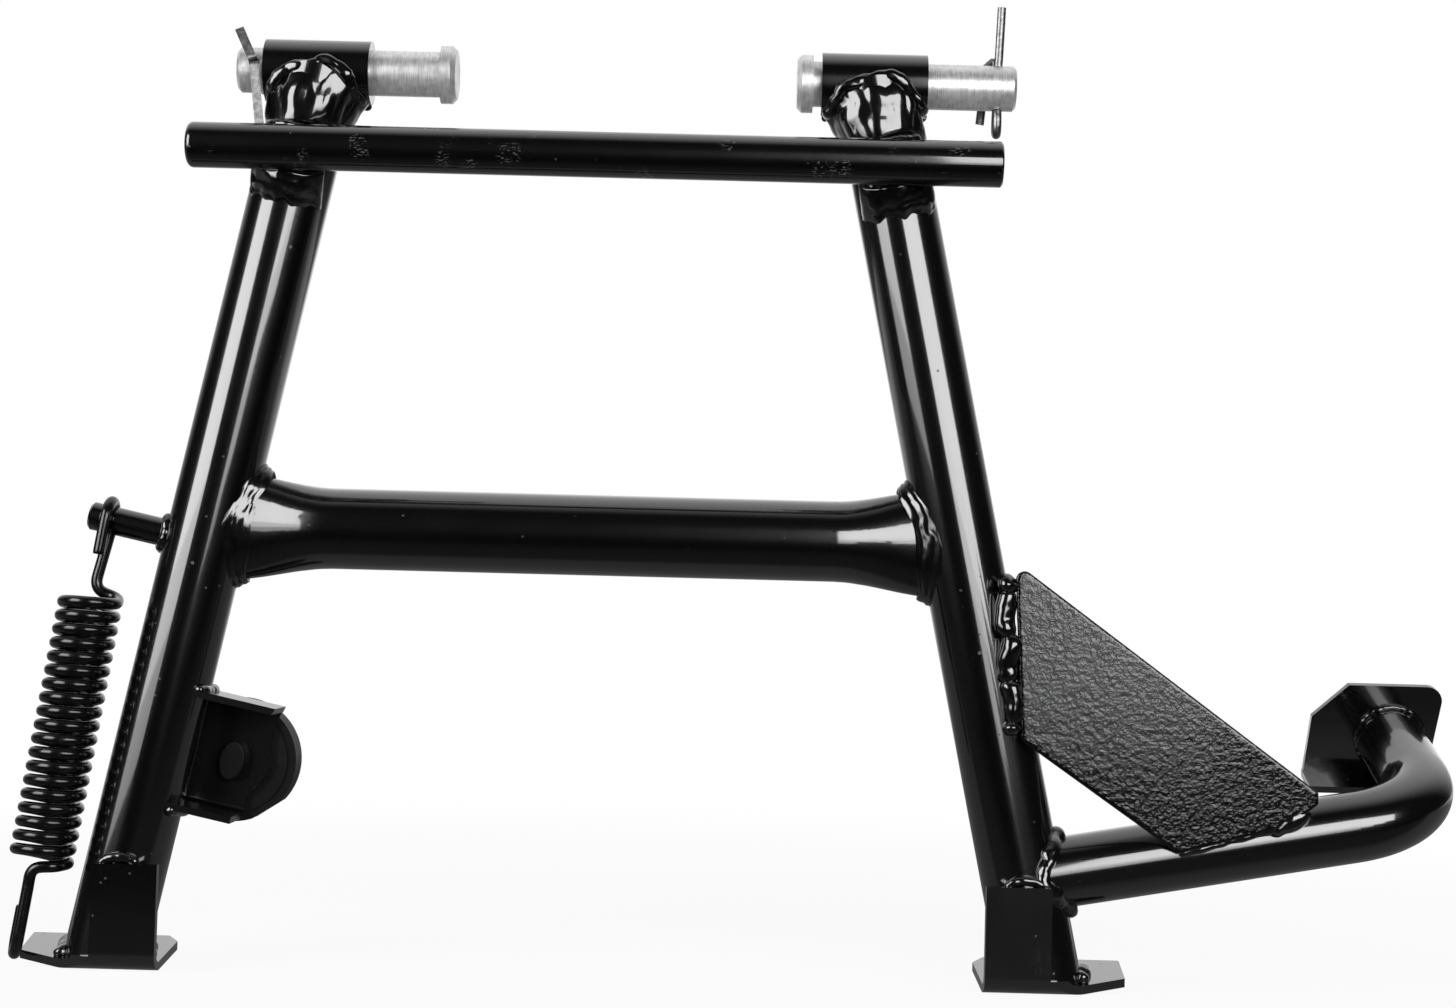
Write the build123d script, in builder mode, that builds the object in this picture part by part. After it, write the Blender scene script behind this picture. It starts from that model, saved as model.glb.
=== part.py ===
from build123d import *
from math import atan, cos, floor, radians, sin, tan
import os

# A motorcycle centre stand: two splayed legs hang from a pair of pivot pins, tied by a round bar
# across their fronts and a tube between them, with a pedal arm on one leg and a tension spring on
# the other. Origin: on the pivot axis, midway between the pivot tubes. +X runs along the pivot axis
# to the pedal side, +Y to the rear of the machine, +Z up. The legs hang in the XZ plane.

# Legs
LEG_OD = 28.6
LEG_WALL = 2.0
LEG_SPLAY = 11.84
PIVOT_HALF_SPACING = 98.7
TONGUE_RISE = 1.0

# Pivot tubes
PIVOT_TUBE_OD = 22.4
PIVOT_TUBE_LENGTH = 37.4

# Clevis pins
PIN_DIAMETER = 16.0
PIN_LENGTH = 72.0
PIN_RUNNING_CLEARANCE = 0.06
PIN_HEAD_DIAMETER = 20.4
PIN_HEAD_THICKNESS = 5.6
PIN_HEAD_CHAMFER = 1.6
PIN_END_CHAMFER = 1.0
LEFT_PIN_STANDOFF = 24.8
RIGHT_PIN_STANDOFF = 3.0

# Split pins
SPLIT_PIN_DIAMETER = 3.2
SPLIT_PIN_HOLE = 3.8
SPLIT_PIN_INSET = 6.4
SPLIT_LEG_LENGTH = 21.0
SPLIT_EYE_RADIUS = 2.9
SPLIT_EYE_WIRE = 2.4
SPLIT_BEND_RADIUS = 1.6
SPLIT_WRAP_GAP = 0.7
SPLIT_LEG_OVERLAP = 0.2
RIGHT_UPPER_LEG_LEAN = 1.6
RIGHT_LOWER_LEG_LIFT = 1.0
RIGHT_LOWER_LEG_SWAY = 3.0
RIGHT_LOWER_LEG_END_SWAY = 5.0
RIGHT_LOWER_LEG_DROP = 3.0
LEFT_SPLIT_PIN_ROLL = 10.0
LEFT_SHORT_LEG_SWAY = 5.5
LEFT_SHORT_LEG_RISE = 11.5
LEFT_LONG_LEG_SWAY = 2.2
LEFT_LONG_LEG_EXTRA = 2.0
LEFT_LEG_LIFT = 0.5
LEFT_LONG_LEG_STANDOFF = 0.4

# Round bar across the fronts of the legs
CROSSBAR_DIAMETER = 16.0
CROSSBAR_LENGTH = 283.0
CROSSBAR_DROP = 30.9
CROSSBAR_SHIFT = 1.4
CROSSBAR_END_ROUND = 2.2
CROSSBAR_END_CHAMFER = 0.6

# Tube between the legs, with its ends squeezed to upright ovals
CROSS_TUBE_OD = 28.6
CROSS_TUBE_WALL = 2.0
CROSS_TUBE_DROP = 162.6
OVAL_HALF_HEIGHT = 19.0
OVAL_HALF_DEPTH = 8.6
OVAL_RUN = 30.0
OVAL_SECTIONS = 4

# Foot plates, bent from sheet
FOOT_SHEET = 3.0
SOLE_DROP = 319.0
SOLE_TILT = 9.0
SOLE_DEPTH = 38.0
FOOT_INNER_X = 143.6
FOOT_FRONT_WIDTH = 24.0
FOOT_FLANGE_WIDTH = 22.8
FOOT_REACH = 51.5
FOOT_TIP_SETBACK = 16.0
FOOT_TIP_TAPER = 0.8
FOOT_TIP_RADIUS = 1.5
FOOT_REAR_CUT_WIDTH = 4.6
FOOT_REAR_CUT_DEPTH = 7.0
FOOT_INNER_FLARE = 1.6
FOOT_FOLD_RADIUS = 6.0
FOOT_FLANGE_HEIGHT = 38.0

# Pedal arm and pedal pad
ARM_OD = 25.0
ARM_WALL = 2.0
ARM_DROP = 279.5
ARM_RISE = 10.2
ARM_REACH = 302.5
ARM_BEND_RADIUS = 31.0
ARM_BACK_RUN = 70.0
ARM_BACK_RISE = 19.0
PAD_SHEET = 2.5
PAD_INNER_WIDTH = 31.5
PAD_OUTER_WIDTH = 19.0
PAD_BELOW = 16.5
PAD_ABOVE = 21.5
PAD_FLANGE = 14.0
PAD_CHAMFER = 13.0
PAD_CORNER_RADIUS = 6.0
PAD_INNER_TAPER = 1.5
PAD_OUTER_TAPER = 4.0
PAD_FOLD_RADIUS = 2.0

# Gusset plate between the pedal leg and the arm
GUSSET_THICKNESS = 3.0
GUSSET_TOP_DROP = 168.4
GUSSET_TOP_OFFSET = 17.3
GUSSET_SIDE_HEIGHT = 62.0
GUSSET_LOW_OFFSET = 7.70
GUSSET_TIP_REACH = 100.71
GUSSET_TIP_ABOVE_ARM = 15.74
GUSSET_TIP_HEIGHT = 4.2
GUSSET_TIP_CUT = 9.5
GUSSET_TIP_CUT_DROP = 7.6
GUSSET_LOW_RUN = 38.6
GUSSET_LOW_RISE = 15.5

# Spring peg on the other leg
PEG_DIAMETER = 10.0
PEG_LENGTH = 27.4
PEG_DROP = 168.6
PEG_GROOVE_DEPTH = 0.7
PEG_GROOVE_WIDTH = 5.4
PEG_HEAD_WIDTH = 4.0
PEG_END_CHAMFER = 0.8

# Tension spring
SPRING_WIRE = 4.1
SPRING_OD = 22.9
SPRING_PITCH = 4.87
SPRING_HOOK_GAP = 29.0
SPRING_HOOK_TAIL = 13.0
SPRING_HOOK_OFFSET = 1.2
SPRING_HOOK_CLEARANCE = 0.1
SPRING_HOOK_SHOULDER = 3.7
SPRING_ENTRY_RISE = 2.05
SPRING_ENTRY_REACH = 8.46
SPRING_TIP_INSET = 2.88
SPRING_SOLE_MARGIN = 3.0
SPRING_LEAN = 2.7
EYE_HALF_WIDTH = 6.4
EYE_LENGTH = 33.5
EYE_OFFSET = 3.2
EYE_TWIST = 2.0
EYE_TAIL = 16.0
EYE_EXIT_REACH = 6.77
EYE_EXIT_FALL = 1.03
EYE_CROSSING_REACH = 7.14
EYE_CROSSING_FALL = 2.46
EYE_SHOULDER_FALL = 9.0
EYE_EXIT_BEND = 2.05
EYE_CROSSING_BEND = 3.28
EYE_END_BEND = 6.08

# Bumper bracket and its rubber bumper, on the inner side of the spring leg
BRACKET_SHEET = 2.4
BRACKET_TOP = 223.0
BRACKET_HEIGHT = 42.6
BRACKET_REACH = 25.4
BRACKET_FRONT_Y = 10.2
BRACKET_FOLD_RADIUS = 4.0
BRACKET_WAIST = 2.2
BRACKET_SLOPE_MIDDLE = 27.7
BRACKET_SLOPE_END = 34.1
BRACKET_LOW_CUT = 6.2
BUMPER_LEG_CLEARANCE = 0.2
BUMPER_DIAMETER = 44.0
BUMPER_THICKNESS = 13.5
BUMPER_OFFSET = 11.5
BUMPER_CENTRE_DROP = 23.0
BUMPER_GROOVE_INSET = 2.2
BUMPER_GROOVE_WIDTH = 1.0
BUMPER_GROOVE_DEPTH = 0.6
BUMPER_FLAT = 0.8
BUMPER_EDGE_ROUND = 1.0
BUMPER_STEM_LENGTH = 14.5
BUMPER_STEM_WIDTH = 9.5
BUMPER_STEM_PROUD = 4.0
BUMPER_STEM_LIP = 0.8
BUMPER_STEM_CLEARANCE = 0.2

# Weld beads
PIVOT_WELD = 2.4
BAR_WELD = 4.2
BAR_WELD_SIDE_INSET = 1.0
BAR_WELD_LOW_REACH = 6.7
TUBE_WELD = 3.0
FOOT_WELD = 3.6
FLANGE_WELD_LENGTH = 14.4
FLANGE_WELD_OFFSET = 13.7
ARM_WELD = 3.4
PAD_WELD = 2.2
PAD_WELD_LENGTH = 3.5
PAD_WELD_TOE = 0.4
PEG_WELD = 2.4
BRACKET_WELD = 2.6
GUSSET_WELD = 4.2
GUSSET_WELD_LAP = 0.2
GUSSET_WELD_END_ROUND = 2.5
GUSSET_EDGE_WELD = 1.7
WELD_SEAT_GAP = 0.02

# Worked out from the driving dimensions
LEG_RADIUS = LEG_OD / 2
PIVOT_TUBE_RADIUS = PIVOT_TUBE_OD / 2
PIN_RADIUS = PIN_DIAMETER / 2
PIVOT_BORE_RADIUS = PIN_RADIUS + PIN_RUNNING_CLEARANCE
CROSSBAR_RADIUS = CROSSBAR_DIAMETER / 2
CROSSBAR_Y = -(LEG_RADIUS + CROSSBAR_RADIUS)
ARM_RADIUS = ARM_OD / 2
SPLAY = radians(LEG_SPLAY)
TILT = radians(SOLE_TILT)
FOOT_FRONT_Y = -(LEG_RADIUS + FOOT_SHEET)
LEG_LENGTH = (SOLE_DROP + LEG_OD) / cos(SPLAY)
SPRING_RADIUS = (SPRING_OD - SPRING_WIRE) / 2


def leg_axis_x(drop):
    """Distance of a leg's axis from the middle plane, at a depth below the pivot axis."""
    return PIVOT_HALF_SPACING + drop * tan(SPLAY)


def leg_plane(side):
    """Plane at a leg's pivot: x points outward across the leg, z down along it."""
    outward = (side * cos(SPLAY), 0, sin(SPLAY))
    down = (side * sin(SPLAY), 0, -cos(SPLAY))
    return Plane(origin=(side * PIVOT_HALF_SPACING, 0, 0), x_dir=outward, z_dir=down)


def leg_front(side, distance):
    """Plane square to the front of a leg, at a distance down it: x outward, facing forward."""
    place = leg_plane(side)
    centre = place.from_local_coords((0, 0, distance))
    return Plane(origin=centre, x_dir=place.x_dir, z_dir=(0, -1, 0))


def leg_core(side, grow=0.0):
    """A solid rod along a leg, thicker than the leg by grow all round."""
    with BuildPart() as core:
        with BuildSketch(leg_plane(side).offset(-LEG_OD)):
            Circle(LEG_RADIUS + grow)
        extrude(amount=LEG_OD + LEG_LENGTH)
    return core.part


sole_plane = Plane(
    origin=(0, FOOT_FRONT_Y, -SOLE_DROP),
    x_dir=(1, 0, 0),
    z_dir=(0, -sin(TILT), cos(TILT)),
)

right_leg_core = leg_core(1)
left_leg_core = leg_core(-1)

os.makedirs("parts", exist_ok=True)

# The pivot tubes: plain sleeves that turn on the clevis pins.
with BuildPart() as right_pivot_tube:
    with BuildSketch(Plane.YZ.offset(PIVOT_HALF_SPACING - PIVOT_TUBE_LENGTH / 2)):
        Circle(PIVOT_TUBE_RADIUS)
        Circle(PIVOT_BORE_RADIUS, mode=Mode.SUBTRACT)
    extrude(amount=PIVOT_TUBE_LENGTH)
right_pivot_tube.part.label = "right_pivot_tube"
export_step(right_pivot_tube.part, "parts/right_pivot_tube.step")

with BuildPart() as left_pivot_tube:
    mirror(right_pivot_tube.part, about=Plane.YZ)
left_pivot_tube.part.label = "left_pivot_tube"
export_step(left_pivot_tube.part, "parts/left_pivot_tube.step")

# The foot plates: one strip of sheet each, its flange up the front of the leg, its sole folded
# under the leg and spread outward to a blunt point.
flange_x = FOOT_INNER_X + FOOT_REACH / 2
fold_corner = sole_plane.from_local_coords((flange_x, FOOT_SHEET / 2, FOOT_SHEET / 2))
sole_rear = sole_plane.from_local_coords((flange_x, SOLE_DEPTH, FOOT_SHEET / 2))
flange_top = Vector(flange_x, FOOT_FRONT_Y + FOOT_SHEET / 2, FOOT_FLANGE_HEIGHT - SOLE_DROP)
rear_y = FOOT_FRONT_Y + SOLE_DEPTH * cos(TILT)

with BuildPart() as right_foot_plate:
    with BuildLine():
        FilletPolyline(flange_top, (flange_x, flange_top.Y, fold_corner.Z), sole_rear,
                       radius=FOOT_FOLD_RADIUS - FOOT_SHEET / 2)
    with BuildSketch(Plane(origin=flange_top, x_dir=(1, 0, 0), z_dir=(0, 0, -1))):
        Rectangle(FOOT_REACH + 2 * FOOT_SHEET, FOOT_SHEET)
    sweep()
    with BuildSketch(Plane.XY.offset(-SOLE_DROP - SOLE_DEPTH)) as outline:
        with BuildLine():
            Polyline(
                (FOOT_INNER_X, FOOT_FRONT_Y),
                (FOOT_INNER_X + FOOT_FRONT_WIDTH, FOOT_FRONT_Y),
                (FOOT_INNER_X + FOOT_REACH - FOOT_TIP_TAPER, FOOT_FRONT_Y + FOOT_TIP_SETBACK),
                (FOOT_INNER_X + FOOT_REACH, rear_y),
                (FOOT_INNER_X - FOOT_INNER_FLARE + FOOT_REAR_CUT_WIDTH, rear_y),
                (FOOT_INNER_X - FOOT_INNER_FLARE, rear_y - FOOT_REAR_CUT_DEPTH),
                close=True,
            )
        make_face()
        fillet(outline.vertices().group_by(Axis.X)[-1], FOOT_TIP_RADIUS)
    extrude(amount=SOLE_DEPTH + SOLE_DROP, mode=Mode.INTERSECT)
    with BuildSketch(Plane.XY.offset(-SOLE_DROP + FOOT_FOLD_RADIUS)):
        with Locations((FOOT_INNER_X + FOOT_FLANGE_WIDTH + FOOT_REACH / 2, FOOT_FRONT_Y)):
            Rectangle(FOOT_REACH, 3 * FOOT_SHEET)
    extrude(amount=FOOT_FLANGE_HEIGHT, mode=Mode.SUBTRACT)
right_foot_plate.part.label = "right_foot_plate"
export_step(right_foot_plate.part, "parts/right_foot_plate.step")

with BuildPart() as left_foot_plate:
    mirror(right_foot_plate.part, about=Plane.YZ)
left_foot_plate.part.label = "left_foot_plate"
export_step(left_foot_plate.part, "parts/left_foot_plate.step")

# The legs: round tubes. Each top is cut to a tongue that saddles its pivot tube front and back,
# and each foot is cut along the tilted sole plate.
with BuildPart() as right_leg:
    with BuildSketch(leg_plane(1).offset(-TONGUE_RISE)):
        Circle(LEG_RADIUS)
        Circle(LEG_RADIUS - LEG_WALL, mode=Mode.SUBTRACT)
    extrude(amount=TONGUE_RISE + LEG_LENGTH)
    with BuildSketch(leg_front(1, LEG_RADIUS - TONGUE_RISE)):
        Circle(LEG_RADIUS)
        with Locations((0, -LEG_LENGTH / 2)):
            Rectangle(LEG_OD, LEG_LENGTH)
    extrude(amount=LEG_OD, both=True, mode=Mode.INTERSECT)
    with BuildSketch(Plane.YZ.offset(PIVOT_HALF_SPACING - PIVOT_TUBE_LENGTH / 2)):
        Circle(PIVOT_TUBE_RADIUS)
    extrude(amount=PIVOT_TUBE_LENGTH, mode=Mode.SUBTRACT)
    split(bisect_by=sole_plane.offset(FOOT_SHEET), keep=Keep.TOP)
    add(right_foot_plate.part, mode=Mode.SUBTRACT)
right_leg.part.label = "right_leg"
export_step(right_leg.part, "parts/right_leg.step")

with BuildPart() as left_leg:
    mirror(right_leg.part, about=Plane.YZ)
left_leg.part.label = "left_leg"
export_step(left_leg.part, "parts/left_leg.step")

# The weld that joins a pivot tube into its leg: a saddle-shaped collar along the tongue's edge.
with BuildPart() as right_pivot_weld:
    with BuildSketch(leg_plane(1).offset(-LEG_OD)):
        Circle(LEG_RADIUS + PIVOT_WELD)
    extrude(amount=2 * LEG_OD)
    with BuildSketch(leg_front(1, LEG_RADIUS - TONGUE_RISE)):
        Circle(LEG_RADIUS + PIVOT_WELD)
        Circle(LEG_RADIUS - PIVOT_WELD, mode=Mode.SUBTRACT)
        with Locations((0, -LEG_OD)):
            Rectangle(2 * LEG_OD, 2 * LEG_OD - PIVOT_WELD, mode=Mode.SUBTRACT)
    extrude(amount=LEG_OD, both=True, mode=Mode.INTERSECT)
    with BuildSketch(Plane.YZ.offset(PIVOT_HALF_SPACING - PIVOT_TUBE_LENGTH)):
        Circle(PIVOT_TUBE_RADIUS)
    extrude(amount=2 * PIVOT_TUBE_LENGTH, mode=Mode.SUBTRACT)
    add(right_leg.part, mode=Mode.SUBTRACT)
right_pivot_weld.part = right_pivot_weld.part.solids().sort_by(SortBy.VOLUME)[-1]
right_pivot_weld.part.label = "right_pivot_weld"
export_step(right_pivot_weld.part, "parts/right_pivot_weld.step")

with BuildPart() as left_pivot_weld:
    mirror(right_pivot_weld.part, about=Plane.YZ)
left_pivot_weld.part.label = "left_pivot_weld"
export_step(left_pivot_weld.part, "parts/left_pivot_weld.step")

# The clevis pins: turned, with a chamfered head at one end and a cross hole for the split pin at
# the other. The left pin's head faces the middle, and so does the right pin's.
def clevis_pin(head_x, side, hole_roll):
    """A pin from the face under its head, running outward on one side of the middle plane."""
    under_head = Plane(origin=(head_x, 0, 0), x_dir=(0, 0, 1), z_dir=(side, 0, 0))
    hole_x = head_x + side * (PIN_LENGTH - SPLIT_PIN_INSET)
    roll = radians(hole_roll)
    hole_axis = (0, -cos(roll), sin(roll))
    with BuildPart() as pin:
        with BuildSketch(under_head):
            Circle(PIN_RADIUS)
        extrude(amount=PIN_LENGTH)
        chamfer(pin.faces().sort_by(Axis.X)[-1 if side > 0 else 0].edges(), PIN_END_CHAMFER)
        with BuildSketch(under_head.offset(-PIN_HEAD_THICKNESS)):
            Circle(PIN_HEAD_DIAMETER / 2)
        extrude(amount=PIN_HEAD_THICKNESS)
        chamfer(pin.faces().sort_by(Axis.X)[0 if side > 0 else -1].edges(), PIN_HEAD_CHAMFER)
        with BuildSketch(Plane(origin=(hole_x, 0, 0), x_dir=(1, 0, 0), z_dir=hole_axis)):
            Circle(SPLIT_PIN_HOLE / 2)
        extrude(amount=PIN_DIAMETER, both=True, mode=Mode.SUBTRACT)
    return pin.part


tube_inner_end = PIVOT_HALF_SPACING - PIVOT_TUBE_LENGTH / 2
left_head_x = -(tube_inner_end - LEFT_PIN_STANDOFF)
right_head_x = tube_inner_end - RIGHT_PIN_STANDOFF
right_hole_x = right_head_x + PIN_LENGTH - SPLIT_PIN_INSET
left_hole_x = left_head_x - PIN_LENGTH + SPLIT_PIN_INSET

right_pivot_pin = clevis_pin(right_head_x, 1, 90)
right_pivot_pin.label = "right_pivot_pin"
export_step(right_pivot_pin, "parts/right_pivot_pin.step")

left_pivot_pin = clevis_pin(left_head_x, -1, LEFT_SPLIT_PIN_ROLL)
left_pivot_pin.label = "left_pivot_pin"
export_step(left_pivot_pin, "parts/left_pivot_pin.step")

# The split pins: wire folded on itself through the pin's cross hole, with an eye at one end and
# two legs spread apart at the other.
def split_pin(place, leg_paths, eye_normal):
    """A split pin in a plane at the pin axis: z along the hole to the legs, y square to the axis."""
    wire = SPLIT_PIN_DIAMETER / 2
    with BuildPart() as folded:
        with BuildSketch(place.offset(-PIN_RADIUS - wire)):
            Circle(wire)
        extrude(amount=PIN_DIAMETER + wire)
        for leg_path in leg_paths:
            with BuildLine(place) as leg:
                FilletPolyline(*leg_path, radius=SPLIT_BEND_RADIUS)
            with BuildSketch(Plane(origin=leg.line @ 0, z_dir=leg.line % 0)):
                Circle(wire)
            sweep(transition=Transition.ROUND)
        eye_plane = Plane(
            origin=place.from_local_coords((0, 0, -PIN_RADIUS - wire - SPLIT_EYE_RADIUS)),
            x_dir=place.z_dir,
            z_dir=eye_normal,
        )
        with BuildLine(eye_plane):
            CenterArc((0, 0), SPLIT_EYE_RADIUS, 0, 360)
        with BuildSketch(Plane(origin=eye_plane.from_local_coords((SPLIT_EYE_RADIUS, 0, 0)),
                               x_dir=eye_plane.x_dir, z_dir=eye_plane.y_dir)):
            Circle(SPLIT_EYE_WIRE / 2)
        sweep()
    return folded.part


hole_mouth = PIN_RADIUS - SPLIT_PIN_DIAMETER / 2
wrap_radius = PIN_RADIUS + SPLIT_PIN_DIAMETER / 2 + SPLIT_WRAP_GAP

# The right split pin: one leg stands up, the other is bent down behind the pin.
lower_leg_radius = wrap_radius + RIGHT_LOWER_LEG_LIFT
right_split_pin = split_pin(
    Plane(origin=(right_hole_x, 0, 0), x_dir=(1, 0, 0), z_dir=(0, 0, 1)),
    [
        [(SPLIT_LEG_OVERLAP, 0, hole_mouth), (SPLIT_LEG_OVERLAP, 0, wrap_radius),
         (RIGHT_UPPER_LEG_LEAN, 0, PIN_RADIUS + SPLIT_LEG_LENGTH)],
        [(-SPLIT_LEG_OVERLAP, 0, hole_mouth), (-SPLIT_LEG_OVERLAP, 0, lower_leg_radius),
         (-RIGHT_LOWER_LEG_SWAY, lower_leg_radius, wrap_radius),
         (-RIGHT_LOWER_LEG_END_SWAY, lower_leg_radius, -PIN_RADIUS - RIGHT_LOWER_LEG_DROP)],
    ],
    (0, 1, 0),
)
right_split_pin.label = "right_split_pin"
export_step(right_split_pin, "parts/right_split_pin.step")

# The left split pin: its legs point forward, a short one bent up and outward, a long one down.
left_roll = radians(LEFT_SPLIT_PIN_ROLL)
left_split_pin = split_pin(
    Plane(origin=(left_hole_x, 0, 0), x_dir=(-1, 0, 0), z_dir=(0, -cos(left_roll), sin(left_roll))),
    [
        [(SPLIT_LEG_OVERLAP, 0, hole_mouth), (SPLIT_LEG_OVERLAP, 0, wrap_radius),
         (LEFT_SHORT_LEG_SWAY, -LEFT_SHORT_LEG_RISE, wrap_radius + LEFT_LEG_LIFT)],
        [(-SPLIT_LEG_OVERLAP, 0, hole_mouth), (-SPLIT_LEG_OVERLAP, 0, wrap_radius + LEFT_LEG_LIFT),
         (-LEFT_LONG_LEG_SWAY, SPLIT_LEG_LENGTH + LEFT_LONG_LEG_EXTRA,
          PIN_RADIUS + LEFT_LONG_LEG_STANDOFF)],
    ],
    (1, 0, 0),
)
left_split_pin.label = "left_split_pin"
export_step(left_split_pin, "parts/left_split_pin.step")

# The round bar across the fronts of the legs. One end is rounded over, the other only deburred.
with BuildPart() as crossbar:
    with BuildSketch(Plane.YZ.offset(CROSSBAR_SHIFT - CROSSBAR_LENGTH / 2)):
        with Locations((CROSSBAR_Y, -CROSSBAR_DROP)):
            Circle(CROSSBAR_RADIUS)
    extrude(amount=CROSSBAR_LENGTH)
    fillet(crossbar.faces().sort_by(Axis.X)[0].edges(), CROSSBAR_END_ROUND)
    chamfer(crossbar.faces().sort_by(Axis.X)[-1].edges(), CROSSBAR_END_CHAMFER)
crossbar.part.label = "crossbar"
export_step(crossbar.part, "parts/crossbar.step")

# The crescent of weld under the bar on each leg.
def crossbar_weld(side):
    """The weld between the bar and one leg."""
    with BuildPart() as weld:
        with BuildSketch(leg_plane(side)):
            Circle(LEG_RADIUS + BAR_WELD)
        extrude(amount=2 * CROSSBAR_DROP)
        with BuildSketch(Plane(origin=(side * leg_axis_x(CROSSBAR_DROP), 0, -CROSSBAR_DROP),
                               x_dir=(1, 0, 0), z_dir=(0, -1, 0))):
            with Locations((0, -BAR_WELD / 2)):
                Ellipse(LEG_RADIUS - BAR_WELD_SIDE_INSET, CROSSBAR_RADIUS + BAR_WELD_LOW_REACH)
        extrude(amount=-CROSSBAR_Y, mode=Mode.INTERSECT)
        with BuildSketch(Plane.YZ.offset(-CROSSBAR_LENGTH)):
            with Locations((CROSSBAR_Y, -CROSSBAR_DROP)):
                Circle(CROSSBAR_RADIUS)
        extrude(amount=2 * CROSSBAR_LENGTH, mode=Mode.SUBTRACT)
        add(leg_core(side, WELD_SEAT_GAP), mode=Mode.SUBTRACT)
    return weld.part


right_crossbar_weld = crossbar_weld(1)
right_crossbar_weld.label = "right_crossbar_weld"
export_step(right_crossbar_weld, "parts/right_crossbar_weld.step")

left_crossbar_weld = crossbar_weld(-1)
left_crossbar_weld.label = "left_crossbar_weld"
export_step(left_crossbar_weld, "parts/left_crossbar_weld.step")

# The tube between the legs. Its ends are squeezed from a circle to an upright oval and coped to
# the legs.
oval_end_x = leg_axis_x(CROSS_TUBE_DROP)
oval_start_x = oval_end_x - LEG_RADIUS - OVAL_RUN
oval_length = LEG_RADIUS / 2 + OVAL_RUN


def squeezed_tube(inset):
    """The solid shape of the tube between the legs, taken in from its outer skin by inset."""
    with BuildPart() as shape:
        with BuildSketch(Plane.YZ.offset(-oval_start_x)):
            with Locations((0, -CROSS_TUBE_DROP)):
                Circle(CROSS_TUBE_OD / 2 - inset)
        extrude(amount=2 * oval_start_x)
        for side in (-1, 1):
            for number in range(OVAL_SECTIONS + 1):
                share = number / OVAL_SECTIONS
                squeeze = share**2 * (3 - 2 * share)
                depth = CROSS_TUBE_OD / 2 + (OVAL_HALF_DEPTH - CROSS_TUBE_OD / 2) * squeeze
                height = CROSS_TUBE_OD / 2 + (OVAL_HALF_HEIGHT - CROSS_TUBE_OD / 2) * squeeze
                with BuildSketch(Plane.YZ.offset(side * (oval_start_x + oval_length * share))):
                    with Locations((0, -CROSS_TUBE_DROP)):
                        Ellipse(depth - inset, height - inset)
            loft()
    return shape.part


with BuildPart() as lower_cross_tube:
    add(squeezed_tube(0))
    add(squeezed_tube(CROSS_TUBE_WALL), mode=Mode.SUBTRACT)
    add(right_leg_core, mode=Mode.SUBTRACT)
    add(left_leg_core, mode=Mode.SUBTRACT)
lower_cross_tube.part = lower_cross_tube.part.solids().sort_by(SortBy.VOLUME)[-1]
lower_cross_tube.part.label = "lower_cross_tube"
export_step(lower_cross_tube.part, "parts/lower_cross_tube.step")

# The weld around each squeezed end of the tube.
with BuildPart() as right_tube_weld:
    with BuildSketch(Plane.YZ.offset(oval_start_x)):
        with Locations((0, -CROSS_TUBE_DROP)):
            Ellipse(OVAL_HALF_DEPTH + TUBE_WELD, OVAL_HALF_HEIGHT + TUBE_WELD)
    extrude(amount=OVAL_RUN + LEG_RADIUS)
    with BuildSketch(leg_plane(1)):
        Circle(LEG_RADIUS + TUBE_WELD)
    extrude(amount=LEG_LENGTH, mode=Mode.INTERSECT)
    add(right_leg_core, mode=Mode.SUBTRACT)
    add(squeezed_tube(0), mode=Mode.SUBTRACT)
right_tube_weld.part.label = "right_tube_weld"
export_step(right_tube_weld.part, "parts/right_tube_weld.step")

with BuildPart() as left_tube_weld:
    mirror(right_tube_weld.part, about=Plane.YZ)
left_tube_weld.part.label = "left_tube_weld"
export_step(left_tube_weld.part, "parts/left_tube_weld.step")

# Welds at each foot: a lump on the sole at either side of the leg, and an arc over the flange.
sole_distance = SOLE_DROP / cos(SPLAY)
flange_top_distance = (SOLE_DROP - FOOT_FLANGE_HEIGHT) / cos(SPLAY)
with BuildPart() as right_foot_weld:
    with BuildSketch(leg_plane(1).offset(flange_top_distance - LEG_OD)):
        Circle(LEG_RADIUS + FOOT_WELD)
    extrude(amount=FOOT_FLANGE_HEIGHT + 3 * LEG_OD)
    split(bisect_by=sole_plane.offset(FOOT_SHEET), keep=Keep.TOP)
    with BuildSketch(leg_front(1, sole_distance)):
        with Locations((LEG_RADIUS + FOOT_WELD, FOOT_WELD / 2), (-LEG_RADIUS, FOOT_WELD)):
            Circle(2 * FOOT_WELD)
    extrude(amount=LEG_RADIUS / 2, both=True, mode=Mode.INTERSECT)
    add(right_leg_core, mode=Mode.SUBTRACT)
right_foot_weld.part.label = "right_foot_weld"
export_step(right_foot_weld.part, "parts/right_foot_weld.step")

with BuildPart() as left_foot_weld:
    mirror(right_foot_weld.part, about=Plane.YZ)
left_foot_weld.part.label = "left_foot_weld"
export_step(left_foot_weld.part, "parts/left_foot_weld.step")

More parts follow.
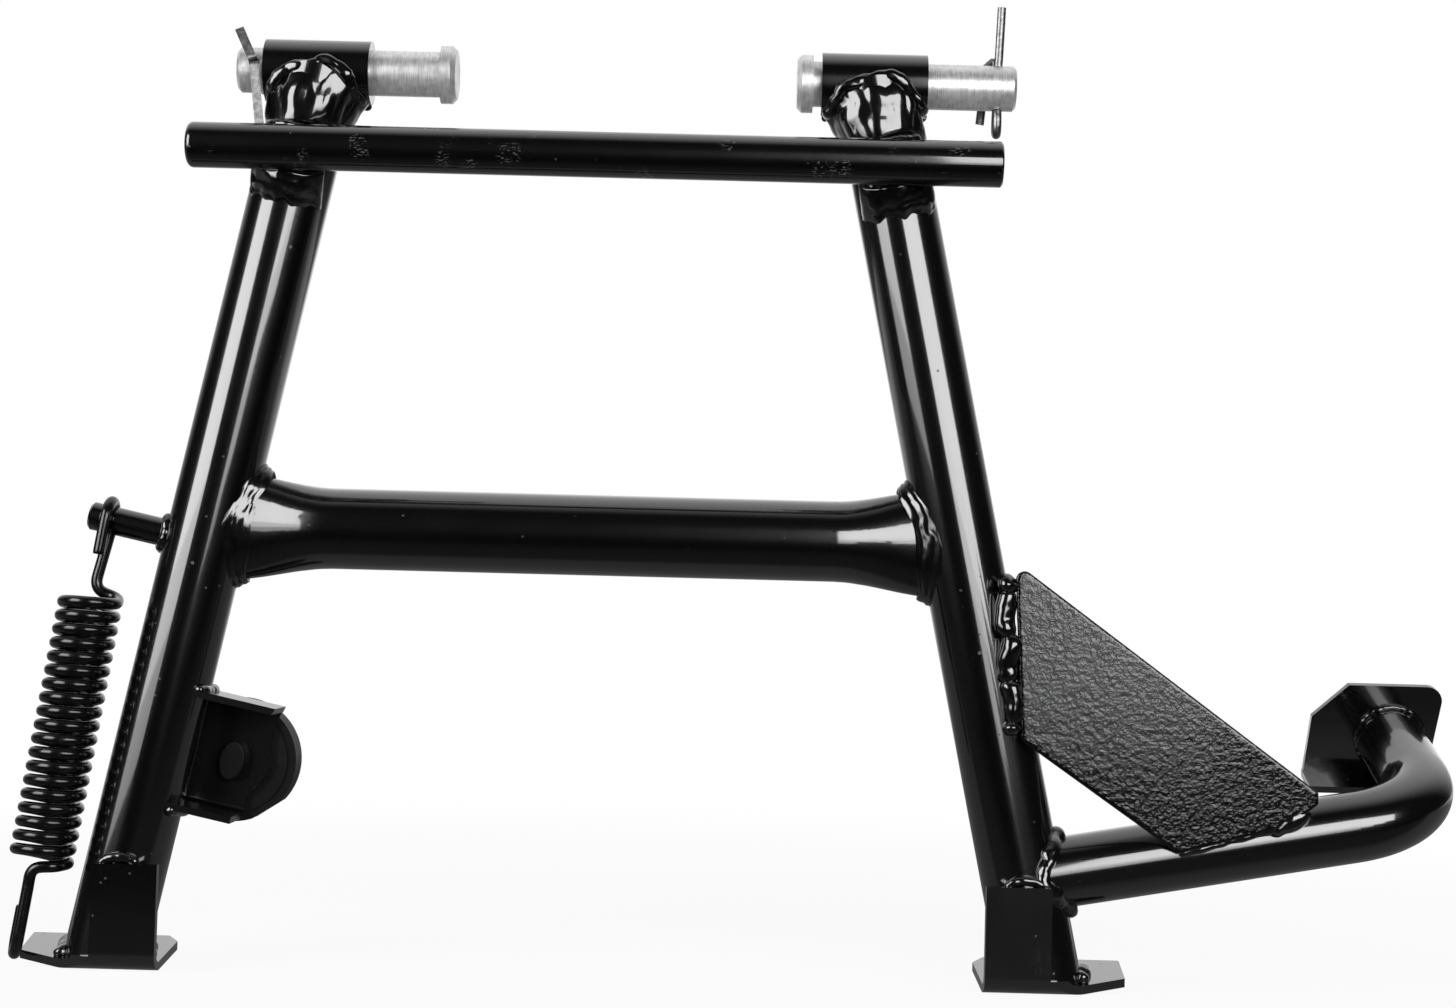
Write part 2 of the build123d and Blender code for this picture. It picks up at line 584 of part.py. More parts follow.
# The weld over the top edge of each flange, on the front of the leg.
def flange_weld(side):
    """A half-round lump of weld that sits on the flange's top edge."""
    place = Plane(
        origin=(side * (FOOT_INNER_X + FLANGE_WELD_OFFSET), 0, FOOT_FLANGE_HEIGHT - SOLE_DROP),
        x_dir=(1, 0, 0),
        z_dir=(0, -1, 0),
    )
    with BuildPart() as weld:
        with BuildSketch(leg_plane(side).offset(flange_top_distance - LEG_OD)):
            Circle(LEG_RADIUS + FOOT_SHEET)
        extrude(amount=2 * LEG_OD)
        with BuildSketch(place):
            Ellipse(FLANGE_WELD_LENGTH / 2, FOOT_WELD)
            with Locations((0, -FOOT_WELD)):
                Rectangle(2 * FLANGE_WELD_LENGTH, 2 * FOOT_WELD, mode=Mode.SUBTRACT)
        extrude(amount=LEG_OD, mode=Mode.INTERSECT)
        add(leg_core(side, WELD_SEAT_GAP), mode=Mode.SUBTRACT)
    return weld.part


right_flange_weld = flange_weld(1)
right_flange_weld.label = "right_flange_weld"
export_step(right_flange_weld, "parts/right_flange_weld.step")

left_flange_weld = flange_weld(-1)
left_flange_weld.label = "left_flange_weld"
export_step(left_flange_weld, "parts/left_flange_weld.step")

# The pedal arm: a tube that leaves the leg rising outward, then bends sharply to the rear.
arm_root = Vector(leg_axis_x(ARM_DROP), 0, -ARM_DROP)
arm_corner = Vector(ARM_REACH, 0, -ARM_DROP + (ARM_REACH - arm_root.X) * tan(radians(ARM_RISE)))
pad_normal = Vector(0, cos(radians(ARM_BACK_RISE)), sin(radians(ARM_BACK_RISE)))
arm_end = arm_corner + pad_normal * ARM_BACK_RUN
arm_direction = (arm_corner - arm_root).normalized()

with BuildPart() as pedal_arm:
    with BuildLine() as arm_path:
        FilletPolyline(arm_root, arm_corner, arm_end, radius=ARM_BEND_RADIUS)
    with BuildSketch(Plane(origin=arm_root, z_dir=arm_direction)):
        Circle(ARM_RADIUS)
        Circle(ARM_RADIUS - ARM_WALL, mode=Mode.SUBTRACT)
    sweep()
    add(right_leg_core, mode=Mode.SUBTRACT)
pedal_arm.part = pedal_arm.part.solids().sort_by(SortBy.VOLUME)[-1]
pedal_arm.part.label = "pedal_arm"
export_step(pedal_arm.part, "parts/pedal_arm.step")

# The weld around the arm's root.
with BuildPart() as arm_weld:
    with BuildSketch(Plane(origin=arm_root, z_dir=arm_direction)):
        Circle(ARM_RADIUS + ARM_WELD)
        Circle(ARM_RADIUS, mode=Mode.SUBTRACT)
    extrude(amount=2 * LEG_OD)
    with BuildSketch(leg_plane(1)):
        Circle(LEG_RADIUS + ARM_WELD)
    extrude(amount=LEG_LENGTH, mode=Mode.INTERSECT)
    add(right_leg_core, mode=Mode.SUBTRACT)
    add(right_foot_plate.part, mode=Mode.SUBTRACT)
    add(right_flange_weld, mode=Mode.SUBTRACT)
arm_weld.part = arm_weld.part.solids().sort_by(SortBy.VOLUME)[-1]
arm_weld.part.label = "arm_weld"
export_step(arm_weld.part, "parts/arm_weld.step")

# The pedal pad: a sheet plate square to the arm's end, one corner cut off, another rounded, with
# its lower edge folded back under the arm. The foot presses its rear face.
pad_plane = Plane(origin=arm_end, x_dir=(-1, 0, 0), z_dir=pad_normal)
pad_low_outer = -PAD_OUTER_WIDTH + PAD_OUTER_TAPER
pad_top_inner = PAD_INNER_WIDTH - PAD_INNER_TAPER
with BuildPart() as pedal_pad:
    with BuildSketch(pad_plane) as pad_outline:
        with BuildLine():
            Polyline(
                (PAD_INNER_WIDTH, -PAD_BELOW),
                (pad_top_inner, PAD_ABOVE - PAD_CHAMFER),
                (pad_top_inner - PAD_CHAMFER, PAD_ABOVE),
                (-PAD_OUTER_WIDTH, PAD_ABOVE),
                (pad_low_outer, -PAD_BELOW),
                close=True,
            )
        make_face()
        fillet(pad_outline.vertices().sort_by(Axis.X)[0], PAD_CORNER_RADIUS)
    extrude(amount=PAD_SHEET)
    with BuildSketch(pad_plane.offset(PAD_SHEET)):
        with Locations(((PAD_INNER_WIDTH + pad_low_outer) / 2, -PAD_BELOW + PAD_SHEET / 2)):
            Rectangle(PAD_INNER_WIDTH - pad_low_outer, PAD_SHEET)
    extrude(amount=-PAD_FLANGE - PAD_SHEET)
    fold_corner = pad_plane.from_local_coords((0, -PAD_BELOW, PAD_SHEET))
    fillet(pedal_pad.edges().filter_by(Axis.X).sort_by_distance(fold_corner)[0], PAD_FOLD_RADIUS)
pedal_pad.part.label = "pedal_pad"
export_step(pedal_pad.part, "parts/pedal_pad.step")

# The weld around the arm's end, on the front face of the pad.
with BuildPart() as pad_weld:
    with BuildSketch(pad_plane.offset(-PAD_WELD_LENGTH)):
        Circle(ARM_RADIUS + PAD_WELD_TOE)
        Circle(ARM_RADIUS, mode=Mode.SUBTRACT)
    with BuildSketch(pad_plane):
        Circle(ARM_RADIUS + PAD_WELD)
        Circle(ARM_RADIUS, mode=Mode.SUBTRACT)
    loft()
    add(pedal_pad.part, mode=Mode.SUBTRACT)
pad_weld.part.label = "pad_weld"
export_step(pad_weld.part, "parts/pad_weld.step")

# The gusset: a flat plate across the corner of the pedal leg and the arm, lapped over the fronts.
gusset_low_drop = GUSSET_TOP_DROP + GUSSET_SIDE_HEIGHT
gusset_top = Vector(leg_axis_x(GUSSET_TOP_DROP) + GUSSET_TOP_OFFSET, -GUSSET_TOP_DROP)
gusset_low = Vector(leg_axis_x(gusset_low_drop) + GUSSET_LOW_OFFSET, -gusset_low_drop)
gusset_tip = Vector(
    arm_root.X + GUSSET_TIP_REACH,
    -ARM_DROP + GUSSET_TIP_REACH * tan(radians(ARM_RISE)) + GUSSET_TIP_ABOVE_ARM,
)
gusset_arm_end = gusset_tip + Vector(-GUSSET_TIP_CUT, -GUSSET_TIP_HEIGHT - GUSSET_TIP_CUT_DROP)
gusset_arm_start = gusset_arm_end - Vector(GUSSET_LOW_RUN, GUSSET_LOW_RUN * tan(radians(GUSSET_LOW_RISE)))
with BuildPart() as gusset_plate:
    with BuildSketch(Plane.XZ.offset(ARM_RADIUS)) as gusset_outline:
        with BuildLine():
            Polyline(
                gusset_top,
                gusset_tip,
                gusset_tip - Vector(0, GUSSET_TIP_HEIGHT),
                gusset_arm_end,
                gusset_arm_start,
                gusset_low,
                close=True,
            )
        make_face()
        fillet(gusset_outline.vertices().sort_by(Axis.X)[:2], GUSSET_THICKNESS)
    extrude(amount=GUSSET_THICKNESS)
gusset_plate.part.label = "gusset_plate"
export_step(gusset_plate.part, "parts/gusset_plate.step")

# The heavy bead that fills the corner between the gusset's side and the leg.
bead_depth = ARM_RADIUS + GUSSET_THICKNESS / 4
bead_top = Vector(gusset_top.X - GUSSET_WELD + GUSSET_WELD_LAP, -bead_depth,
                  gusset_top.Y - GUSSET_WELD / 2)
bead_low = Vector(gusset_low.X - GUSSET_WELD / 2, -bead_depth, gusset_low.Y)
with BuildPart() as gusset_weld:
    with BuildSketch(Plane(origin=bead_top, z_dir=bead_low - bead_top)):
        Circle(GUSSET_WELD)
    extrude(amount=(bead_low - bead_top).length)
    fillet(gusset_weld.edges(), GUSSET_WELD_END_ROUND)
    add(right_leg_core, mode=Mode.SUBTRACT)
    add(gusset_plate.part, mode=Mode.SUBTRACT)
gusset_weld.part.label = "gusset_weld"
export_step(gusset_weld.part, "parts/gusset_weld.step")

# The thin bead along the gusset's lower edge, on the front of the arm.
edge_start = Vector(gusset_arm_start.X, -ARM_RADIUS, gusset_arm_start.Y)
edge_end = Vector(gusset_arm_end.X, -ARM_RADIUS, gusset_arm_end.Y)
with BuildPart() as gusset_edge_weld:
    with BuildSketch(Plane(origin=edge_start, z_dir=edge_end - edge_start)):
        Circle(GUSSET_EDGE_WELD)
    extrude(amount=(edge_end - edge_start).length)
    with BuildSketch(Plane(origin=arm_root, z_dir=arm_direction)):
        Circle(ARM_RADIUS)
    extrude(amount=2 * ARM_REACH, mode=Mode.SUBTRACT)
    add(gusset_plate.part, mode=Mode.SUBTRACT)
gusset_edge_weld.part.label = "gusset_edge_weld"
export_step(gusset_edge_weld.part, "parts/gusset_edge_weld.step")

# The spring peg: a short bar on the outer side of the other leg, grooved near its end.
peg_plane = Plane(
    origin=(-leg_axis_x(PEG_DROP), 0, -PEG_DROP),
    x_dir=(0, 1, 0),
    z_dir=(-cos(SPLAY), 0, sin(SPLAY)),
)
peg_tip = LEG_RADIUS + PEG_LENGTH
groove_centre = peg_tip - PEG_HEAD_WIDTH - PEG_GROOVE_WIDTH / 2
groove_radius = PEG_DIAMETER / 2 - PEG_GROOVE_DEPTH
with BuildPart() as spring_peg:
    with BuildSketch(peg_plane):
        Circle(PEG_DIAMETER / 2)
    extrude(amount=peg_tip)
    chamfer(spring_peg.faces().sort_by(Axis.X)[0].edges(), PEG_END_CHAMFER)
    with BuildSketch(peg_plane.offset(groove_centre - PEG_GROOVE_WIDTH / 2)):
        Circle(PEG_DIAMETER)
        Circle(groove_radius, mode=Mode.SUBTRACT)
    extrude(amount=PEG_GROOVE_WIDTH, mode=Mode.SUBTRACT)
    add(left_leg_core, mode=Mode.SUBTRACT)
spring_peg.part.label = "spring_peg"
export_step(spring_peg.part, "parts/spring_peg.step")

# The weld around the peg's root.
with BuildPart() as peg_weld:
    with BuildSketch(peg_plane):
        Circle(PEG_DIAMETER / 2 + PEG_WELD)
        Circle(PEG_DIAMETER / 2, mode=Mode.SUBTRACT)
    extrude(amount=LEG_OD)
    with BuildSketch(leg_plane(-1)):
        Circle(LEG_RADIUS + PEG_WELD)
    extrude(amount=LEG_LENGTH, mode=Mode.INTERSECT)
    add(left_leg_core, mode=Mode.SUBTRACT)
peg_weld.part.label = "peg_weld"
export_step(peg_weld.part, "parts/peg_weld.step")

# The tension spring hangs on the peg by an open hook and leans forward on the foot plate's edge.
# It is drawn about its own axis, z up along the coil, x inward to the leg and y to the rear, and
# then hung on the peg's groove.
hook_place = peg_plane.from_local_coords((0, 0, groove_centre + SPRING_HOOK_OFFSET))
foot_tip_x = FOOT_INNER_X + FOOT_REACH
hanging_height = SOLE_DROP + hook_place.Z
tilt_out = atan((foot_tip_x - SPRING_TIP_INSET + hook_place.X) / hanging_height)
lean = radians(SPRING_LEAN)
spring_plane = Plane(
    origin=hook_place,
    x_dir=(cos(tilt_out), 0, -sin(tilt_out)),
    z_dir=(sin(tilt_out) * cos(lean), sin(lean), cos(tilt_out) * cos(lean)),
)
hook_radius = groove_radius + SPRING_HOOK_CLEARANCE + SPRING_WIRE / 2
hanging_length = hanging_height / (cos(tilt_out) * cos(lean)) - SPRING_SOLE_MARGIN
coil_turns = floor((hanging_length - SPRING_HOOK_GAP - EYE_LENGTH) / SPRING_PITCH)
coil_height = SPRING_PITCH * coil_turns
coil_top = -SPRING_HOOK_GAP
coil_bottom = coil_top - coil_height
eye_bottom = coil_bottom - EYE_LENGTH
front_strand = -EYE_OFFSET + EYE_TWIST
rear_strand = -EYE_OFFSET - EYE_TWIST

with BuildPart() as drawn_spring:
    with BuildLine() as coil_line:
        Helix(SPRING_PITCH, coil_height, SPRING_RADIUS, center=(0, 0, coil_bottom))
    with BuildSketch(Plane(origin=coil_line.line @ 0, x_dir=(1, 0, 0), z_dir=coil_line.line % 0)):
        Circle(SPRING_WIRE / 2)
    sweep(is_frenet=True)
    with BuildLine():
        tail = Line((SPRING_HOOK_OFFSET, -hook_radius, -SPRING_HOOK_TAIL),
                    (SPRING_HOOK_OFFSET, -hook_radius, 0))
        over = ThreePointArc(tail @ 1, (SPRING_HOOK_OFFSET, 0, hook_radius),
                             (SPRING_HOOK_OFFSET, hook_radius, 0))
        FilletPolyline(
            over @ 1,
            (SPRING_HOOK_OFFSET, hook_radius, -hook_radius),
            (-SPRING_HOOK_OFFSET, hook_radius, coil_top + SPRING_HOOK_SHOULDER),
            (SPRING_ENTRY_REACH, hook_radius, coil_top + SPRING_ENTRY_RISE),
            (SPRING_RADIUS, 0, coil_top),
            radius=SPRING_WIRE,
        )
    with BuildSketch(Plane(origin=tail @ 0, z_dir=tail % 0)):
        Circle(SPRING_WIRE / 2)
    sweep()
    with BuildLine() as eye_line:
        FilletPolyline(
            (SPRING_RADIUS, 0, coil_bottom),
            (EYE_EXIT_REACH, -EYE_EXIT_REACH, coil_bottom - EYE_EXIT_FALL),
            (front_strand, -EYE_CROSSING_REACH, coil_bottom - EYE_CROSSING_FALL),
            (front_strand, -EYE_HALF_WIDTH, coil_bottom - EYE_SHOULDER_FALL),
            (front_strand, -EYE_HALF_WIDTH, eye_bottom),
            (rear_strand, EYE_HALF_WIDTH, eye_bottom),
            (rear_strand, EYE_HALF_WIDTH, eye_bottom + EYE_TAIL),
            radius=[EYE_EXIT_BEND, EYE_CROSSING_BEND, EYE_EXIT_BEND, EYE_END_BEND, EYE_END_BEND],
        )
    with BuildSketch(Plane(origin=eye_line.line @ 0, z_dir=eye_line.line % 0)):
        Circle(SPRING_WIRE / 2)
    sweep()
return_spring = drawn_spring.part.moved(spring_plane.location)
return_spring.label = "return_spring"
export_step(return_spring, "parts/return_spring.step")

# The bumper bracket: a channel folded from sheet, open to the front, welded to the inner side of
# the leg. In its plane x runs down the leg, y to the rear and z inward from the leg's axis.
bracket_plane = Plane(
    origin=leg_plane(-1).from_local_coords((0, 0, BRACKET_TOP)),
    x_dir=leg_plane(-1).z_dir,
    z_dir=-leg_plane(-1).x_dir,
)
web_back = LEG_RADIUS + BUMPER_LEG_CLEARANCE
bracket_depth = web_back + BRACKET_FRONT_Y
bracket_start = LEG_RADIUS / 2
bracket_end = LEG_RADIUS + BRACKET_REACH
bumper_centre_reach = LEG_RADIUS + BUMPER_OFFSET
bracket_side = Plane(origin=bracket_plane.origin, x_dir=bracket_plane.x_dir, z_dir=(0, -1, 0))
neck_length = BUMPER_STEM_LENGTH - 2 * BUMPER_STEM_LIP
neck_width = BUMPER_STEM_WIDTH - 2 * BUMPER_STEM_LIP

with BuildPart() as bumper_bracket:
    with BuildSketch(bracket_plane.offset(bracket_start)) as channel:
        with Locations((BRACKET_HEIGHT / 2, web_back - bracket_depth / 2)):
            Rectangle(BRACKET_HEIGHT, bracket_depth)
        fillet(channel.vertices().group_by(Axis.Y)[-1], BRACKET_FOLD_RADIUS)
        with BuildSketch(mode=Mode.PRIVATE) as hollow:
            with Locations((BRACKET_HEIGHT / 2, web_back - BRACKET_SHEET - bracket_depth / 2)):
                Rectangle(BRACKET_HEIGHT - 2 * BRACKET_SHEET, bracket_depth)
            fillet(hollow.vertices().group_by(Axis.Y)[-1], BRACKET_FOLD_RADIUS - BRACKET_SHEET)
        add(hollow.sketch, mode=Mode.SUBTRACT)
    extrude(amount=bracket_end - bracket_start)
    with BuildSketch(bracket_side) as side_outline:
        with BuildLine():
            edge = Line((0, 0), (0, bracket_end))
            waist = ThreePointArc(edge @ 1, (BRACKET_HEIGHT / 4, bracket_end - BRACKET_WAIST),
                                  (BRACKET_HEIGHT / 2, bracket_end))
            slope = ThreePointArc(waist @ 1, (BRACKET_SLOPE_MIDDLE, bracket_end - BRACKET_WAIST),
                                  (BRACKET_SLOPE_END, bracket_end - BRACKET_LOW_CUT))
            Polyline(slope @ 1, (BRACKET_HEIGHT, bracket_end - BRACKET_LOW_CUT), (BRACKET_HEIGHT, 0),
                     (0, 0))
        make_face()
    extrude(amount=2 * LEG_OD, both=True, mode=Mode.INTERSECT)
    with BuildSketch(bracket_side.offset(-web_back)):
        with Locations((BUMPER_CENTRE_DROP, bumper_centre_reach)):
            Ellipse(neck_length / 2 + BUMPER_STEM_CLEARANCE, neck_width / 2 + BUMPER_STEM_CLEARANCE)
    extrude(amount=2 * BRACKET_SHEET, both=True, mode=Mode.SUBTRACT)
    add(left_leg_core, mode=Mode.SUBTRACT)
bumper_bracket.part.label = "bumper_bracket"
export_step(bumper_bracket.part, "parts/bumper_bracket.step")

# Two beads hold the bracket to the leg, one over its upper flange and one under its lower flange.
with BuildPart() as bracket_weld:
    with BuildSketch(bracket_plane.offset(bracket_start)):
        with Locations((BRACKET_HEIGHT / 2, 0)):
            Rectangle(BRACKET_HEIGHT + 2 * BRACKET_WELD, 2 * BRACKET_FRONT_Y)
            Rectangle(BRACKET_HEIGHT, 2 * BRACKET_FRONT_Y, mode=Mode.SUBTRACT)
    extrude(amount=LEG_RADIUS)
    with BuildSketch(leg_plane(-1)):
        Circle(LEG_RADIUS + BRACKET_WELD)
    extrude(amount=LEG_LENGTH, mode=Mode.INTERSECT)
    add(left_leg_core, mode=Mode.SUBTRACT)
bracket_weld.part.label = "bracket_weld"
export_step(bracket_weld.part, "parts/bracket_weld.step")

# The rubber bumper: a disc with a grooved rim behind the bracket, held by an oval stem that snaps
# through the bracket's slot.
bumper_plane = bracket_side.offset(-web_back)
with BuildPart() as rubber_bumper:
    with BuildSketch(bumper_plane) as disc:
        with Locations((BUMPER_CENTRE_DROP, bumper_centre_reach)):
            Circle(BUMPER_DIAMETER / 2)
            with Locations(Location((0, 0), 45)):
                with Locations((BUMPER_DIAMETER - BUMPER_FLAT, 0)):
                    Rectangle(BUMPER_DIAMETER, BUMPER_DIAMETER, mode=Mode.SUBTRACT)
    extrude(amount=-BUMPER_THICKNESS)
    fillet(rubber_bumper.faces().sort_by(Axis.Y)[-1].edges(), BUMPER_EDGE_ROUND)
    with BuildSketch(bumper_plane):
        with Locations((BUMPER_CENTRE_DROP, bumper_centre_reach)):
            Circle(BUMPER_DIAMETER / 2 - BUMPER_GROOVE_INSET)
            Circle(BUMPER_DIAMETER / 2 - BUMPER_GROOVE_INSET - BUMPER_GROOVE_WIDTH,
                   mode=Mode.SUBTRACT)
    extrude(amount=-BUMPER_GROOVE_DEPTH, mode=Mode.SUBTRACT)
    with BuildSketch(bumper_plane):
        with Locations((BUMPER_CENTRE_DROP, bumper_centre_reach)):
            Ellipse(neck_length / 2, neck_width / 2)
    extrude(amount=BRACKET_SHEET + BUMPER_STEM_CLEARANCE)
    with BuildSketch(bumper_plane.offset(BRACKET_SHEET + BUMPER_STEM_CLEARANCE)):
        with Locations((BUMPER_CENTRE_DROP, bumper_centre_reach)):
            Ellipse(BUMPER_STEM_LENGTH / 2, BUMPER_STEM_WIDTH / 2)
    extrude(amount=BUMPER_STEM_PROUD)
    fillet(rubber_bumper.faces().sort_by(Axis.Y)[0].edges(), BUMPER_EDGE_ROUND)
rubber_bumper.part.label = "rubber_bumper"
export_step(rubber_bumper.part, "parts/rubber_bumper.step")
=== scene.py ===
import math

import bmesh
import bpy
from mathutils import Matrix, Vector, noise


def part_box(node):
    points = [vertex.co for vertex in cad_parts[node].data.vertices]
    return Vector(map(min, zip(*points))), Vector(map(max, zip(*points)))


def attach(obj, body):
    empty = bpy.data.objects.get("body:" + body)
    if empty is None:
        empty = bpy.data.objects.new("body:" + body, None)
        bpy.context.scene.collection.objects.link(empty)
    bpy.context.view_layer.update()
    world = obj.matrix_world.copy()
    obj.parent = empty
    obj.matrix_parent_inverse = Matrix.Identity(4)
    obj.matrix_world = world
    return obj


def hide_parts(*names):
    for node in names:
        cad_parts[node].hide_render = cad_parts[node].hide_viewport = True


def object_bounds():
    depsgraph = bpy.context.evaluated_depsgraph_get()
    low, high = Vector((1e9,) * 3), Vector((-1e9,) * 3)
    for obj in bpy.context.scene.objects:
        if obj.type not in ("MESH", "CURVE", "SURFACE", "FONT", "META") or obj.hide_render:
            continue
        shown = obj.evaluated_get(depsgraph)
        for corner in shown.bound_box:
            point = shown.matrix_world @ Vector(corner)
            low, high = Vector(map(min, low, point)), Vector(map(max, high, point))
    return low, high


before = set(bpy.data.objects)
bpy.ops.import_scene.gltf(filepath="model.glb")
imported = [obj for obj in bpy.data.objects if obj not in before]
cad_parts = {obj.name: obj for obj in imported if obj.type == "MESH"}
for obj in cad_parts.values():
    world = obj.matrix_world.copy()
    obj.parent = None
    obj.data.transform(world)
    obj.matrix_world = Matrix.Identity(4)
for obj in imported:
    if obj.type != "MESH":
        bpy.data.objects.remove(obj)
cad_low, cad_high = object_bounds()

CAMERA_PLACE = Vector((0.0548, -0.9202, -0.1825))
CAMERA_YAW = 0.0045
CAMERA_PITCH = 0.035
CAMERA_ROLL = 0.0259
LENS = 64.29
SENSOR = 36.0
NEAR_CLIP = 0.02
FAR_CLIP = 50.0

camera_data = bpy.data.cameras.new("camera")
camera_data.sensor_width = SENSOR
camera_data.lens = LENS
camera_data.clip_start = NEAR_CLIP
camera_data.clip_end = FAR_CLIP
camera = bpy.data.objects.new("camera", camera_data)
bpy.context.scene.collection.objects.link(camera)
camera.matrix_world = (
    Matrix.Translation(CAMERA_PLACE)
    @ Matrix.Rotation(CAMERA_YAW, 4, "Z")
    @ Matrix.Rotation(math.pi / 2 + CAMERA_PITCH, 4, "X")
    @ Matrix.Rotation(CAMERA_ROLL, 4, "Z")
)
bpy.context.scene.camera = camera
bpy.context.scene.view_settings.view_transform = "Standard"

# The backdrop is a white studio: white where the camera or a reflection looks past the object or
# over its top, dark towards the room behind the camera, and a low even fill for everything else.
FILL_LEVEL = 0.1
ROOM_LEVEL = 0.012
CEILING_LEVEL = 0.85
CEILING_LEAN = 0.85
CEILING_EDGE = (0.45, 1.2)
REAR_EDGE = (0.8, 0.98)


class Socket:
    """A shader socket that takes part in Python arithmetic by adding Math nodes."""

    def __init__(self, tree, link):
        self.tree = tree
        self.link = link

    def math(self, operation, *values):
        return self.tree.add("ShaderNodeMath", {"operation": operation}, dict(enumerate(values)))

    def __add__(self, other):
        return self.math("ADD", self, other)

    def __radd__(self, other):
        return self.math("ADD", other, self)

    def __sub__(self, other):
        return self.math("SUBTRACT", self, other)

    def __rsub__(self, other):
        return self.math("SUBTRACT", other, self)

    def __mul__(self, other):
        return self.math("MULTIPLY", self, other)

    def __rmul__(self, other):
        return self.math("MULTIPLY", other, self)

    def at_most(self, other):
        return self.math("MINIMUM", self, other)

    def between(self, low, high):
        """0 below low, 1 above high and smooth between them."""
        return self.tree.add(
            "ShaderNodeMapRange", {"interpolation_type": "SMOOTHSTEP"}, {0: self, 1: low, 2: high}
        )


class Tree:
    """A node tree that is filled in by one method."""

    def __init__(self, nodes_of):
        nodes_of.use_nodes = True
        self.nodes = nodes_of.node_tree.nodes
        self.links = nodes_of.node_tree.links
        self.nodes.clear()

    def add(self, kind, settings=None, inputs=None, output=0):
        """A new node with its settings and inputs, as the socket of its named or numbered output."""
        node = self.nodes.new(kind)
        for name, value in (settings or {}).items():
            setattr(node, name, value)
        for name, value in (inputs or {}).items():
            if isinstance(value, Socket):
                self.links.new(value.link, node.inputs[name])
            else:
                node.inputs[name].default_value = value
        return Socket(self, node.outputs[output]) if node.outputs else None


def grey(level):
    return (level, level, level, 1.0)


world = bpy.data.worlds.new("studio")
bpy.context.scene.world = world
sky = Tree(world)
direction = sky.add("ShaderNodeTexCoord", output="Generated")
rearward = sky.add("ShaderNodeSeparateXYZ", inputs={0: direction}, output="Y")
upward = sky.add("ShaderNodeSeparateXYZ", inputs={0: direction}, output="Z")
camera_ray = sky.add("ShaderNodeLightPath", output="Is Camera Ray")
glossy_ray = sky.add("ShaderNodeLightPath", output="Is Glossy Ray")
ceiling = (rearward * CEILING_LEAN + upward).between(*CEILING_EDGE) * CEILING_LEVEL
studio = (ROOM_LEVEL + ceiling + rearward.between(*REAR_EDGE)).at_most(1.0)
seen = camera_ray + (1 - camera_ray) * (glossy_ray * studio + (1 - glossy_ray) * FILL_LEVEL)
shine = sky.add("ShaderNodeBackground", inputs={"Color": grey(1.0), "Strength": seen})
sky.add("ShaderNodeOutputWorld", inputs={"Surface": shine})

# The two soft boxes, one close by on the left and a wider one on the right. Each is a tall lamp
# over dimmer strips, so that it fades out downward. The right one also narrows there.
BOX_RADIANCE = 6.6
BOX_TOP = 0.55
LEFT_EDGE = Vector((-0.902, -0.385, 0))
LEFT_FACING = Vector((0.75, 0.6, 0))
LEFT_STRIPS = ((-0.25, 0.55, 0.33), (-0.155, 0.55, 0.67), (-0.06, 0.55, 1.0))
RIGHT_EDGE = Vector((0.2235, -1.3406, 0))
RIGHT_FACING = Vector((-0.1, 1, 0))
RIGHT_STRIPS = (
    (-0.4, 0.24, 0.28),
    (-0.27, 0.34, 0.45),
    (-0.16, 0.6, 0.7),
    (-0.06, 0.9, 0.95),
    (0.04, 1.2, 1.0),
)


def soft_box(name, edge, facing, strips):
    """Upright area lamps beside edge, each from its foot up to the next one's foot or the top.

    A strip is the height of its foot, its width and its share of the full radiance."""
    sideways = Vector((facing.y, -facing.x, 0)).normalized()
    feet = [strip[0] for strip in strips] + [BOX_TOP]
    for step, (foot, width, share_lit) in enumerate(strips):
        height = feet[step + 1] - foot
        lamp_data = bpy.data.lights.new(f"{name}_{step}", "AREA")
        lamp_data.shape = "RECTANGLE"
        lamp_data.size = width
        lamp_data.size_y = height
        lamp_data.energy = BOX_RADIANCE * share_lit * math.pi * width * height
        lamp = bpy.data.objects.new(lamp_data.name, lamp_data)
        bpy.context.scene.collection.objects.link(lamp)
        lamp.location = edge + sideways * width / 2 + Vector((0, 0, foot + height / 2))
        lamp.rotation_euler = (-facing).to_track_quat("Z", "Y").to_euler()


soft_box("left_soft_box", LEFT_EDGE, LEFT_FACING, LEFT_STRIPS)
soft_box("right_soft_box", RIGHT_EDGE, RIGHT_FACING, RIGHT_STRIPS)

# The pale floor under the soles is a sheet of white paper. It keeps a soft shadow close to the
# stand, and reflections see it dark near the camera, dim at the feet and bright at the rear.
MM = 0.001
FLOOR_GAP = 0.5 * MM
FLOOR_SIZE = 6.0
PAPER_GREY = 0.86
LIT_SHARE = 0.93
LIT_EDGE = (0.35, 0.9)
FRONT_GLOW = 0.05
FRONT_EDGE = (-0.35, -0.05)
FOOT_GLOW = 0.1
FOOT_EDGE = (-0.06, -0.02)
REAR_GLOW = 0.5
REAR_GLOW_EDGE = (0.35, 1.3)

floor_mesh = bpy.data.meshes.new("floor")
half = FLOOR_SIZE / 2
floor_z = cad_low[2] - FLOOR_GAP
floor_mesh.from_pydata(
    [(-half, -half, floor_z), (half, -half, floor_z), (half, half, floor_z), (-half, half, floor_z)],
    [],
    [(0, 1, 2, 3)],
)
floor = bpy.data.objects.new("floor", floor_mesh)
bpy.context.scene.collection.objects.link(floor)

